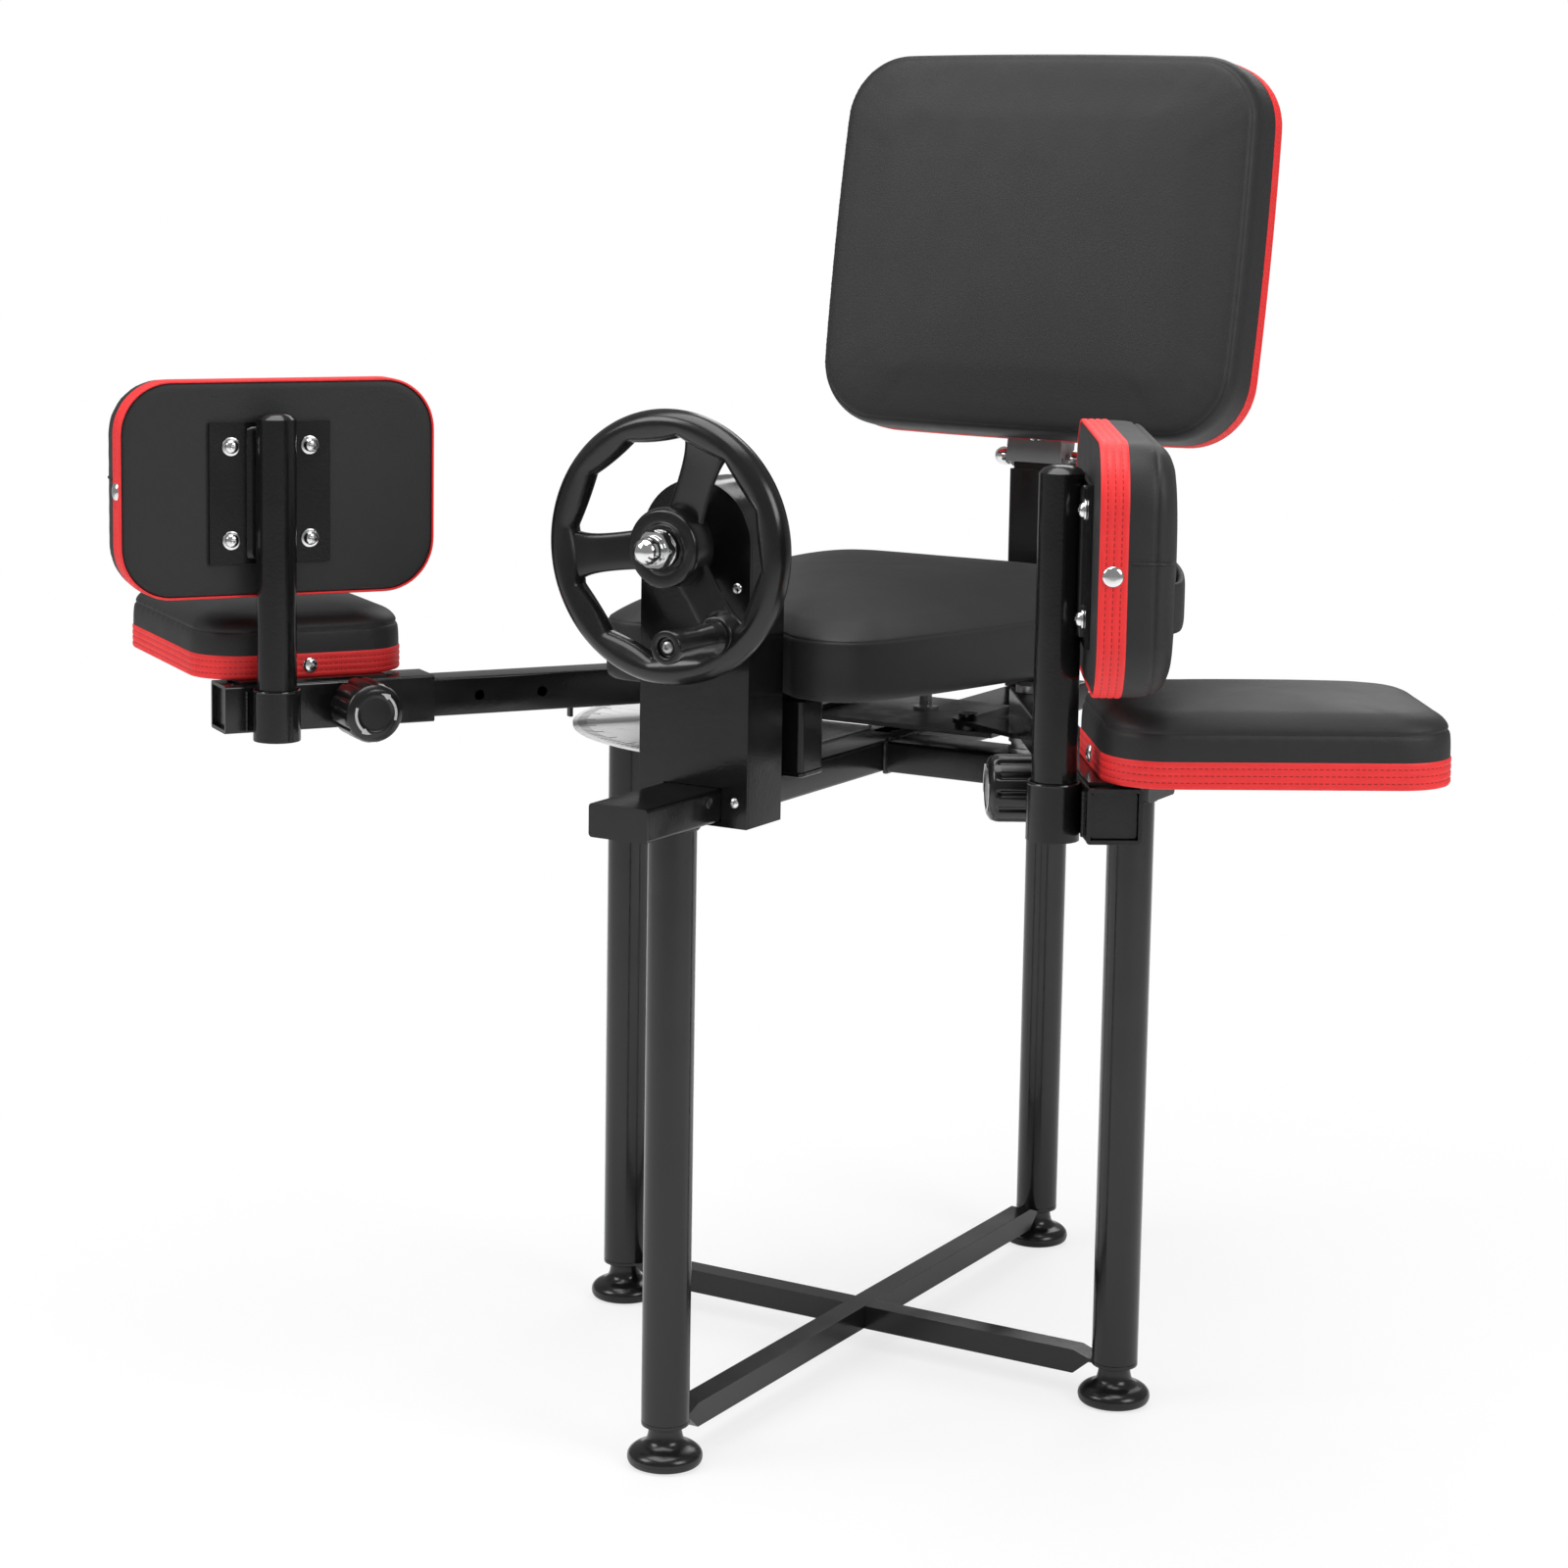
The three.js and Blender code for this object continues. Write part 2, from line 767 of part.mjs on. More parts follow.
// The lead screw along Y, with a thinner journal at its front for the sprocket.
function leadScrew() {
  const journal = frontBearingPlane + bearingThickness;
  return turned([
    [0, -screwRear],
    [screwRadius, -screwRear],
    [screwRadius, journal],
    [screwJournalRadius, journal],
    [screwJournalRadius, screwFront],
    [0, screwFront],
  ], 20).rotateX(Math.PI / 2);
}

// A block that fills the long tube and holds the screw.
function screwBearing() {
  const width = frameWidth - (frameWall + gap) * 2;
  const height = frameHeight - (frameWall + gap) * 2;
  return built([block(width, bearingThickness, height)], [barY(screwRadius + running, bearingThickness * 2)]);
}

// The nut on the screw, with a tongue through the tube's slot up to the crosshead.
function carriageNut() {
  const height = frameHeight - (frameWall + gap) * 2;
  const body = block(nutWidth, nutLength, height);
  const tongueTop = frameHeight / 2 + crossheadLift - gap;
  const tongue = block(tongueWidth, tongueLength, tongueTop, 0, 0, tongueTop / 2);
  const bore = barY(screwRadius + running, nutLength * 2);
  const seat = barZ(carriageBoltRadius + gap, carriageBoltSeat * 2, 0, 0, tongueTop, 16);
  return built([body, tongue], [bore, seat]);
}

// The places of a link's two pins at rest on the right-hand side.
function linkPlace() {
  const a = turn(armAngle + tailAngle);
  return [pivotReach - tailRadius * Math.sin(a), tailRadius * Math.cos(a)];
}

// The crosshead plate: front corners square, rear corners cut off, with a cross slot for each link.
function crosshead() {
  const plate = pushed(
    outlined([
      [-crossheadHalfWidth, crossheadFront],
      [crossheadHalfWidth, crossheadFront],
      [crossheadHalfWidth, crossheadRear - crossheadChamferY],
      [crossheadHalfWidth - crossheadChamferX, crossheadRear],
      [-crossheadHalfWidth + crossheadChamferX, crossheadRear],
      [-crossheadHalfWidth, crossheadRear - crossheadChamferY],
    ]),
    crossheadThickness,
  );
  const [pinX, pinY] = linkPlace();
  const slotWidth = (linkPinRadius + slotSlack) * 2;
  const low = pinX - linkPinRadius - slotInboard;
  const high = pinX + linkPinRadius + slotOutboard;
  const cuts = [barZ(carriageBoltRadius + gap, crossheadThickness * 4, 0, carriagePlace, 0, 16)];
  for (const side of [-1, 1]) {
    const middle = (side * (low + high)) / 2;
    cuts.push(block(high - low, slotWidth, crossheadThickness * 4, middle, pinY + linkLength, 0));
  }
  return built([plate], cuts);
}

// The upright bolt that ties the crosshead to the nut, with the washer at its foot.
function carriageBolt() {
  const foot = -crossheadThickness - carriageBoltSeat + overrun;
  const top = carriageBoltRise;
  return turned([
    [0, foot],
    [carriageBoltRadius, foot],
    [carriageBoltRadius, gap],
    [carriageWasherRadius, gap],
    [carriageWasherRadius, carriageWasherThickness],
    [carriageBoltRadius, carriageWasherThickness],
    [carriageBoltRadius, top - overrun / 2],
    [carriageBoltRadius - overrun / 2, top],
    [0, top],
  ], 14);
}

// One link along +Y: a flat bar with a pin up through the arm's lug and a pin down into the crosshead's slot.
function link() {
  const half = linkThickness / 2;
  const bar = block(linkWidth, linkLength, linkThickness, 0, linkLength / 2, half);
  const ends = [0, linkLength].map((y) => barZ(linkWidth / 2, linkThickness, 0, y, half, 20));
  const rise = linkThickness + lugThickness + gap * 2;
  const upper = turned([
    [0, half],
    [linkPinRadius, half],
    [linkPinRadius, rise],
    [linkPinHeadRadius, rise],
    [linkPinHeadRadius, rise + linkPinHead],
    [0, rise + linkPinHead],
  ], 16);
  const drop = gap + linkPinFoot;
  const lower = barZ(linkPinRadius, drop + half, 0, linkLength, (half - drop) / 2, 16);
  return built([bar, ...ends, upper, lower]);
}

function buildCarriage(machine) {
  const crossheadBottom = frameTop + crossheadLift;
  const crossheadTop = crossheadBottom + crossheadThickness;
  const [pinX, pinY] = linkPlace();
  addPart(machine, "lead_screw", leadScrew(), steel, 0, 0, screwHeight);
  addPart(machine, "front_screw_bearing", screwBearing(), satin, 0, -frontBearingPlane, screwHeight);
  addPart(machine, "rear_screw_bearing", screwBearing(), satin, 0, rearBearingPlane, screwHeight);
  addPart(machine, "carriage_nut", carriageNut(), steel, 0, carriagePlace, screwHeight);
  addPart(machine, "crosshead_plate", crosshead(), steel, 0, 0, crossheadBottom);
  addPart(machine, "carriage_bolt", carriageBolt(), steel, 0, carriagePlace, crossheadTop);
  addPart(machine, "left_link", link(), gloss, -pinX, pinY, linkBottom);
  addPart(machine, "right_link", link(), gloss, pinX, pinY, linkBottom);
}

// The outline round two circles of different size, the first at the origin and the second at the given place.
function strapOutline(radius, otherRadius, x, y) {
  const shape = new THREE.Shape();
  const along = Math.atan2(y, x);
  const lean = Math.acos((radius - otherRadius) / Math.hypot(x, y));
  shape.absarc(0, 0, radius, along + lean, along - lean + Math.PI * 2);
  shape.absarc(x, y, otherRadius, along - lean, along + lean);
  return shape;
}

// An arm about its pivot, reaching to -Y: a square tube with a closed outer end, pin holes on its inner side,
// the tail lug under it and the pointer that reads the scale plate.
function arm() {
  const length = armTail + armReach;
  const tube = laidAlongY(boxTube(armSize, armSize, armWall, armCorner, length));
  tube.translate(0, -armReach, armHeight);
  const plugSize = armSize - armWall;
  const plug = block(plugSize, armPlug, plugSize, 0, armPlug / 2 - armReach, armHeight);
  const tailX = -tailRadius * Math.sin(turn(tailAngle));
  const tailY = tailRadius * Math.cos(turn(tailAngle));
  const lug = pushed(strapOutline(lugPivotRadius, lugTailRadius, tailX, tailY), lugThickness, 9);
  lug.translate(0, 0, lugBottom);
  const pointerMiddle = armBottom - pointerDrop / 2 + weldDepth;
  const pointer = block(pointerWidth, pointerWidth / 2, pointerDrop, 0, -pointerPlace, pointerMiddle);
  const cuts = [
    barZ(pivotRadius + running, armSize * 2, 0, 0, armHeight, 16),
    barZ(linkPinRadius + running, lugThickness * 4, tailX, tailY, lugBottom, 12),
  ];
  for (let i = -outwardHoleCount; i <= inwardHoleCount; i += 1) {
    const y = -pinPlace + pinHoleSpacing * i;
    cuts.push(barX(pinHoleRadius, armWall * 4, -armSize / 2, y, armHeight, 8));
  }
  return built([tube, plug, lug, pointer], cuts);
}

// The pivot bolt with its washers: a collar under the arm, a shank through it and a head on top.
function pivotBolt(seat) {
  const collarTop = lugBottom - gap;
  const headBottom = armTop + gap;
  const groove = (collarTop - seat) / 3;
  return turned([
    [0, frameTop - pivotTail],
    [pivotRadius, frameTop - pivotTail],
    [pivotRadius, seat + gap],
    [pivotCollarRadius, seat + gap],
    [pivotCollarRadius, seat + groove],
    [pivotCollarRadius - overrun, seat + groove],
    [pivotCollarRadius - overrun, seat + groove * 2],
    [pivotCollarRadius, seat + groove * 2],
    [pivotCollarRadius, collarTop],
    [pivotRadius, collarTop],
    [pivotRadius, headBottom],
    [pivotHeadRadius, headBottom],
    [pivotHeadRadius, headBottom + pivotHead],
    [0, headBottom + pivotHead],
  ], 16);
}

// The calf pad's bracket: a plate on the sleeve that narrows away from it.
function bracketPlate() {
  const inner = -sleeveSize / 2 + sleeveCorner;
  const outer = sleeveSize / 2;
  const outline = outlined([
    [inner, -bracketWide / 2],
    [outer, -bracketWide / 2],
    [bracketReach, -bracketNarrow / 2],
    [bracketReach, bracketNarrow / 2],
    [outer, bracketWide / 2],
    [inner, bracketWide / 2],
  ]);
  const bottom = armHeight + sleeveSize / 2 - weldDepth;
  return pushed(outline, bracketThickness).translate(0, -calfPadPlace, bottom);
}

// The sleeve on the arm, with the post's socket, the pull pin's barrel and the calf pad's bracket plate.
function sleeve() {
  const length = sleeveOuter - sleeveInner;
  const tube = laidAlongY(boxTube(sleeveSize, sleeveSize, sleeveWall, sleeveCorner, length));
  tube.translate(0, -sleeveOuter, armHeight);
  const socketMiddle = socketBottom + socketHeight / 2;
  const socket = barZ(socketRadius, socketHeight, socketX(), -postPlace, socketMiddle, 20);
  const boreRadius = postRadius + running * 2;
  const socketBore = barZ(boreRadius, socketHeight * 2, socketX(), -postPlace, socketBottom, 20);
  const barrelMiddle = -sleeveSize / 2 - barrelLength / 2 + weldDepth;
  const barrel = barX(barrelRadius, barrelLength, barrelMiddle, -pinPlace, armHeight, 14);
  const pinBore = barX(pinRadius + running, barrelLength * 4, barrelMiddle, -pinPlace, armHeight, 12);
  return built([tube, socket, barrel, bracketPlate()], [socketBore, pinBore]);
}

function socketX() {
  return -(sleeveSize / 2 + socketRadius - weldDepth);
}

// The pull pin lies along X, its tip just clear of the arm so that the sleeve can slide.
function pullPin() {
  const tip = -(sleeveSize / 2 - sleeveWall + pinTipSetback);
  const end = -(sleeveSize / 2 + knobStandOff + knobRecess + pinInKnob);
  return barX(pinRadius, tip - end, (tip + end) / 2, 0, 0, 16);
}

// The ribbed knob about X, its open side towards the sleeve.
function knob() {
  const shape = new THREE.Shape();
  const sidesPerRib = 4;
  const sideCount = knobRibCount * sidesPerRib;
  for (let i = 0; i < sideCount; i += 1) {
    const a = (Math.PI * 2 * i) / sideCount;
    const onRib = i % sidesPerRib < sidesPerRib / 2;
    const r = onRib ? knobRadius : knobRadius - knobRibDepth;
    if (i === 0) shape.moveTo(r * Math.cos(a), r * Math.sin(a));
    else shape.lineTo(r * Math.cos(a), r * Math.sin(a));
  }
  const body = pushed(shape, knobLength - knobDome);
  const faceDepth = knobDome + weldDepth;
  const face = new THREE.CylinderGeometry(knobRadius - knobDome, knobRadius - knobRibDepth, faceDepth, 24);
  face.rotateX(Math.PI / 2).translate(0, 0, knobLength - faceDepth / 2);
  const recess = barZ(knobRecessRadius, knobRecess * 2, 0, 0, 0, 20);
  const pinBore = barZ(pinRadius + gap, (knobRecess + pinInKnob + gap) * 2, 0, 0, 0, 16);
  return built([body, face], [recess, pinBore]).rotateY(-Math.PI / 2);
}

// The upright post about its own axis, with its domed top and the mounting plate welded to its outer side.
function post() {
  const inner = postRadius - postWall;
  const foot = socketBottom + overrun;
  const top = armHeight + postRise;
  const crown = top - postCapHeight;
  const tube = turned([
    [inner, foot],
    [postRadius, foot],
    [postRadius, crown],
    ...postCapShares.map(([across, up]) => [postRadius * across, crown + postCapHeight * up]),
    [0, top],
    [0, crown - postWall],
    [inner, crown - postWall],
    [inner, foot],
  ], 24);
  const plateX = postRadius + padPlateThickness / 2 - weldDepth;
  const plateHeight = sidePadHeight - padPlateDrop;
  const plate = block(padPlateThickness, padPlateWidth, padPlateHeight, plateX, 0, plateHeight);
  return built([tube, plate]);
}

// One ring of a cushion: a rounded rectangle whose straight sides draw in towards their middles.
function cushionRing(halfWidth, halfDepth, corner, pull, z) {
  const cornerStepCount = 4;
  const sideStepCount = 4;
  const ring = [];
  for (let quarter = 0; quarter < 4; quarter += 1) {
    const sx = quarter === 0 || quarter === 3 ? 1 : -1;
    const sy = quarter < 2 ? 1 : -1;
    for (let i = 0; i <= cornerStepCount; i += 1) {
      const a = ((quarter + i / cornerStepCount) * Math.PI) / 2;
      const x = sx * (halfWidth - corner) + corner * Math.cos(a);
      const y = sy * (halfDepth - corner) + corner * Math.sin(a);
      ring.push([x, y, z]);
    }
    const horizontal = quarter % 2 === 0;
    for (let i = 1; i < sideStepCount; i += 1) {
      const t = 1 - (2 * i) / sideStepCount;
      const inward = pull * (1 - t * t);
      const direction = quarter < 2 ? 1 : -1;
      const x = horizontal ? direction * t * (halfWidth - corner) : -direction * (halfWidth - inward);
      const y = horizontal ? direction * (halfDepth - inward) : direction * t * (halfDepth - corner);
      ring.push([x, y, z]);
    }
  }
  return ring;
}

// A closed body from rings that all run anticlockwise seen from above, listed from the bottom up.
function ringBody(rings) {
  const count = rings[0].length;
  const points = rings.flat();
  const faces = [];
  rings.slice(1).forEach((ring, level) => {
    const low = level * count;
    const high = low + count;
    for (let i = 0; i < count; i += 1) {
      const j = (i + 1) % count;
      faces.push(low + i, low + j, high + j, low + i, high + j, high + i);
    }
  });
  const top = (rings.length - 1) * count;
  const middleOf = (ring) => [0, 1, 2].map((k) => ring.reduce((sum, p) => sum + p[k], 0) / count);
  points.push(middleOf(rings[0]), middleOf(rings[rings.length - 1]));
  const bottomMiddle = points.length - 2;
  const topMiddle = points.length - 1;
  for (let i = 0; i < count; i += 1) {
    const j = (i + 1) % count;
    faces.push(bottomMiddle, j, i, topMiddle, top + i, top + j);
  }
  const geometry = new THREE.BufferGeometry();
  geometry.setAttribute("position", new THREE.Float32BufferAttribute(points.flat(), 3));
  geometry.setIndex(faces);
  const flat = geometry.toNonIndexed();
  flat.computeVertexNormals();
  return flat;
}

// A padded board with a flat back at z = 0. Its sides bulge a little and draw in between the corners,
// and its front is crowned.
function cushion(width, depth, height, crown, corner) {
  const ring = (inset, z, pull) =>
    cushionRing(width / 2 - inset, depth / 2 - inset, Math.max(corner - inset, corner / 4), pull, z);
  const [lowShare, middleShare, highShare] = padRingShares;
  const [crownShare, insetShare] = padCrownShares;
  return ringBody([
    ring(padEdge / 3, 0, 0),
    ring(0, height * lowShare, 0),
    ring(0, height * middleShare, padPull),
    ring(padEdge / 8, height * highShare, padPull),
    ring(padEdge, height, padPull),
    ring(corner, height + crown * crownShare, 0),
    ring(corner * insetShare, height + crown, 0),
  ]);
}

// The side pad about its post, its back towards -X.
function sidePad() {
  const back = postRadius + padPlateThickness - weldDepth + gap;
  const pad = cushion(sidePadTall, sidePadLong, sidePadDepth, sidePadCrown, padCorner);
  return pad.rotateY(Math.PI / 2).translate(back, sidePadShift, sidePadHeight);
}

// Everything on one arm. The group is turned to the arm's rest angle, and mirrored for the left side.
function buildArm(machine, name, side, pivotSeat, padAngle) {
  const mirror = new THREE.Group();
  mirror.scale.x = side;
  machine.add(mirror);
  const turned = new THREE.Group();
  turned.position.x = pivotReach;
  turned.rotation.z = turn(armAngle);
  mirror.add(turned);
  const swivelled = new THREE.Group();
  swivelled.position.set(socketX(), -postPlace, 0);
  swivelled.rotation.z = -turn(padAngle);
  turned.add(swivelled);
  const knobX = -(sleeveSize / 2 + knobStandOff);
  const calfPad = cushion(calfPadLong, calfPadWide, calfPadDepth, calfPadCrown, padCorner);
  const calfPadX = calfPadInner + calfPadLong / 2;
  const calfBottom = armHeight + sleeveSize / 2 - weldDepth + bracketThickness + gap;
  addPart(turned, name + "_pivot_bolt", pivotBolt(pivotSeat), steel);
  addPart(turned, name + "_arm", arm(), gloss);
  addPart(turned, name + "_sleeve", sleeve(), gloss);
  addPart(turned, name + "_pull_pin", pullPin(), steel, 0, -pinPlace, armHeight);
  addPart(turned, name + "_knob", knob(), satin, knobX, -pinPlace, armHeight);
  addPart(turned, name + "_calf_pad", calfPad, vinyl, calfPadX, -calfPadPlace, calfBottom);
  addPart(swivelled, name + "_pad_post", post(), gloss);
  addPart(swivelled, name + "_side_pad", sidePad(), vinyl);
}

// The seat's outline as points that run anticlockwise from the front notch, drawn in by an inset.
function seatRing(inset, z) {
  const half = seatOutlineShares.map(([across, along]) => {
    const reach = along < 0 ? seatFront : seatRear;
    return new THREE.Vector2(across * (seatHalfWidth - inset), along * (reach - inset));
  });
  const mirrored = half.slice(1, -1).reverse().map((p) => new THREE.Vector2(-p.x, p.y));
  const ends = [...half, ...mirrored].map((p) => new THREE.Vector3(p.x, p.y, z));
  const curve = new THREE.CatmullRomCurve3(ends, true, "centripetal");
  return curve.getSpacedPoints(seatPointCount).slice(0, -1).map((p) => [p.x, p.y, p.z]);
}

function seatCushion() {
  const [lowShare, middleShare, highShare] = seatRingShares;
  const [outerShare, innerShare, crownShare] = seatCrownShares;
  return ringBody([
    seatRing(seatEdge / 3, 0),
    seatRing(0, seatHeight * lowShare),
    seatRing(padPull, seatHeight * middleShare),
    seatRing(seatEdge / 6, seatHeight * highShare),
    seatRing(seatEdge, seatHeight),
    seatRing(seatHalfWidth * outerShare, seatHeight + seatCrown * crownShare),
    seatRing(seatHalfWidth * innerShare, seatHeight + seatCrown),
  ]);
}

// Two rails and two cross bars under the seat, on two posts that stand on a plate across the long tube.
// All are hollow, and the rails are open at their rear ends.
function seatFrame() {
  const top = seatBottom - gap;
  const middle = top - railHeight / 2;
  const backFace = backPostPlace - frameHeight / 2 - gap;
  const length = railFront + backFace;
  const barLength = (railReach + railWidth / 2) * 2;
  const thin = seatTubeWall * 2;
  const pieces = [
    block(barLength, railBar, railHeight, 0, railBar / 2 - railFront, middle),
    block(barLength, railBar, railHeight, 0, backFace - railBar / 2, middle),
  ];
  const cuts = [
    block(barLength - thin, railBar - thin, railHeight - thin, 0, railBar / 2 - railFront, middle),
    block(barLength - thin, railBar - thin, railHeight - thin, 0, backFace - railBar / 2, middle),
  ];
  const plateBottom = frameTop + gap;
  const postMiddle = seatPostDepth / 2 - railFront;
  const plateWidth = frameWidth + seatPostWidth * 2;
  const plateTop = plateBottom + seatPlateThickness;
  const plateMiddle = plateTop - seatPlateThickness / 2;
  const postHeight = middle - plateBottom;
  const hollowHeight = middle - plateTop;
  const hollowMiddle = (middle + plateTop) / 2;
  const barMiddle = railBar / 2 - railFront;
  pieces.push(block(plateWidth, seatPostDepth, seatPlateThickness, 0, postMiddle, plateMiddle));
  for (const side of [-1, 1]) {
    const rail = side * railReach;
    const railY = (backFace - railFront) / 2;
    pieces.push(block(railWidth, length, railHeight, rail, railY, middle));
    cuts.push(block(railWidth - thin, length, railHeight - thin, rail, railY + thin, middle));
    const x = (side * (frameWidth + seatPostWidth)) / 2;
    pieces.push(block(seatPostWidth, seatPostDepth, postHeight, x, postMiddle, plateBottom + postHeight / 2));
    cuts.push(block(seatPostWidth - thin, railBar - thin, hollowHeight, x, barMiddle, hollowMiddle));
  }
  return built(pieces, cuts);
}

// The part-round scale plate on the tops of the long tube and the left tube, with a notch for the seat
// frame's foot and the hole for the left arm's pivot.
function scalePlate() {
  const notchX = -(frameWidth / 2 + seatPostWidth + scaleNotchGap);
  const notchY = seatPostDepth + scaleNotchGap - railFront;
  const notchAngle = -Math.acos((notchX - scaleMiddleX) / scaleRadius);
  const rearAngle = Math.PI - Math.asin((scaleRearEdge - scaleMiddleY) / scaleRadius);
  const shape = new THREE.Shape();
  shape.moveTo(scaleInnerEdge, scaleRearEdge);
  shape.lineTo(scaleInnerEdge, notchY);
  shape.lineTo(notchX, notchY);
  shape.absarc(scaleMiddleX, scaleMiddleY, scaleRadius, notchAngle, rearAngle, true);
  const plate = pushed(shape, scaleThickness, 22);
  return built([plate], [barZ(pivotRadius + running, scaleThickness * 4, -pivotReach, 0, 0)]);
}

function buildSeat(machine) {
  addPart(machine, "seat_frame", seatFrame(), gloss);
  addPart(machine, "seat_cushion", seatCushion(), vinyl, 0, 0, seatBottom);
  addPart(machine, "scale_plate", scalePlate(), silver, 0, 0, frameTop + gap);
}

// The backrest's post: the frame's own tube stood on end, with a narrower head for the hinge bolt.
function backPost() {
  const postBottom = frameTop + gap;
  const postHeight = backPivotHeight - backPostSetback - postBottom;
  const tube = pushed(roundedRectangle(frameWidth, frameHeight, frameCorner), postHeight);
  const headBottom = -backPostSetback - weldDepth;
  const headHeight = backHeadRise - headBottom;
  const head = block(backHeadWidth, backHeadDepth, headHeight, 0, 0, headBottom + headHeight / 2);
  tube.translate(0, 0, postBottom - backPivotHeight);
  return built([tube, head], [barX(backBoltRadius + running, backHeadWidth * 2, 0, 0, 0, 14)]);
}

// The bolt through the hinge, with an acorn nut on each end.
function backBolt() {
  const shoulder = backBoltReach - backNutLength;
  const profile = [
    [0, -backBoltReach],
    ...backNutShares.map(([across, along]) => [
      backNutRadius * across,
      backNutLength * along - backBoltReach,
    ]),
    [backNutRadius, -shoulder],
    [backBoltRadius, -shoulder],
  ];
  const mirrored = profile.map(([r, z]) => [r, -z]).reverse();
  return turned([...profile, ...mirrored], 14).rotateY(Math.PI / 2);
}

// The forked bracket about the hinge: two ears, a web in front of the head and a spine behind the cushion.
function backBracket() {
  const earMiddle = backHeadWidth / 2 + earThickness / 2 + gap;
  const outside = (earMiddle + earThickness / 2) * 2;
  const earTop = backPadRise - gap;
  const earPlace = earDepth / 2 - webDistance - webThickness;
  const pieces = [];
  for (const side of [-1, 1]) {
    pieces.push(barX(earRadius, earThickness, side * earMiddle, 0, 0, 16));
    pieces.push(block(earThickness, earDepth, earTop, side * earMiddle, earPlace, earTop / 2));
  }
  const webHeight = earTop + webDrop;
  const webPlace = -webDistance - webThickness / 2;
  pieces.push(block(outside, webThickness, webHeight, 0, webPlace, earTop - webHeight / 2));
  const spinePlane = -backPadPlane + gap + spineThickness / 2;
  const spineTop = backPadRise + spineHeight;
  const spineLength = spineTop - spineFoot - overrun;
  pieces.push(block(outside, spineThickness, spineLength, 0, spinePlane, spineTop - spineLength / 2));
  return built(pieces, [barX(backBoltRadius + running, outside * 2, 0, 0, 0, 14)]);
}

function buildBackrest(machine) {
  addPart(machine, "backrest_post", backPost(), gloss, 0, backPostPlace, backPivotHeight);
  const tilted = new THREE.Group();
  tilted.position.set(0, backPostPlace, backPivotHeight);
  tilted.rotation.x = -turn(reclineAngle);
  machine.add(tilted);
  const pad = cushion(backPadWidth, backPadTall, backPadDepth, backPadCrown, backPadCorner);
  pad.rotateX(Math.PI / 2);
  addPart(tilted, "backrest_bolt", backBolt(), chrome);
  addPart(tilted, "backrest_bracket", backBracket(), gloss);
  addPart(tilted, "backrest_cushion", pad, vinyl, 0, -backPadPlane, backPadRise + backPadTall / 2);
}

// Moves the machine so that the middle of its footprint is the origin.
function centreOnFootprint(machine) {
  const whole = new THREE.Group();
  whole.add(machine);
  whole.updateMatrixWorld(true);
  const box = new THREE.Box3().setFromObject(whole, true);
  machine.position.y = -(box.min.y + box.max.y) / 2;
  return whole;
}

const machine = new THREE.Group();
buildStand(machine);
buildTopFrame(machine);
buildGearbox(machine);
buildWheel(machine);
buildCarriage(machine);
buildArm(machine, "left", -1, frameTop + gap + scaleThickness, padAngleLeft);
buildArm(machine, "right", 1, frameTop, padAngleRight);
buildSeat(machine);
buildBackrest(machine);

export default centreOnFootprint(machine);
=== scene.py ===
import json
import math

import bpy
import numpy as np
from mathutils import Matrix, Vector


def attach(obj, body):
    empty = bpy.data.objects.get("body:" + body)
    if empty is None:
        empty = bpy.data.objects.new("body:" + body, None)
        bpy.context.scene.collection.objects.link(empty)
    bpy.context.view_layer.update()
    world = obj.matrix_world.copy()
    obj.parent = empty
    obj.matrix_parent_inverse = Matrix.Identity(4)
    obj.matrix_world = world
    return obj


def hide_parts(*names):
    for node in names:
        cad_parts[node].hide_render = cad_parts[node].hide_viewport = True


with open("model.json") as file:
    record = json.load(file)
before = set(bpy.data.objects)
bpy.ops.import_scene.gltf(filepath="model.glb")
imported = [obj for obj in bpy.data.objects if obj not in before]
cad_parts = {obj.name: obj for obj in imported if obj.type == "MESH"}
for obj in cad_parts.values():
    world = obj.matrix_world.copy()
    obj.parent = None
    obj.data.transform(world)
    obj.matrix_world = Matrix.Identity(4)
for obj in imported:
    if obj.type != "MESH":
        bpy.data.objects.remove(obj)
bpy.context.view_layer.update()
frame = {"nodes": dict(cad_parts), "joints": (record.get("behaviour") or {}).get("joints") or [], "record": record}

# The leg stretching machine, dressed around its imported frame. Lengths in functions are millimetres, in the
# frame of the piece's own Place, and turn into metres when a mesh is made.
JOINTS = {joint["name"]: joint for joint in frame["joints"]}
NODES = frame["nodes"]
MM = 0.001
TAU = 2 * math.pi


class Place:
    """A local frame: a local point p in millimetres lies at origin + MM * p . axes, in metres."""

    def __init__(self, origin, x=(1, 0, 0), y=(0, 1, 0), z=(0, 0, 1)):
        self.origin = np.array(origin, float)
        self.axes = np.array([x, y, z], float)

    def __call__(self, points):
        return self.origin + MM * np.asarray(points, float) @ self.axes

    def at(self, point, x=(1, 0, 0), y=(0, 1, 0), z=(0, 0, 1)):
        """The frame moved to a local point, with its new axes given in the old ones."""
        return Place(self(point), *(np.array([x, y, z], float) @ self.axes))


# The machine's own frame: the two arm pivots lie on its X axis.
machine = Place((0, JOINTS["left_arm_swing"]["pos_m"][1], 0))


def arm_place(name, side):
    """The frame of one arm: its origin under the pivot, -y along the arm, x outwards, z from the floor."""
    pivot = JOINTS[name + "_arm_swing"]["pos_m"]
    along = -np.array(JOINTS[name + "_sleeve_slide"]["axis"], float)
    outwards = side * np.array([along[1], -along[0], 0])
    return Place((pivot[0], pivot[1], 0), outwards, along, (0, 0, 1))


# ---- meshes

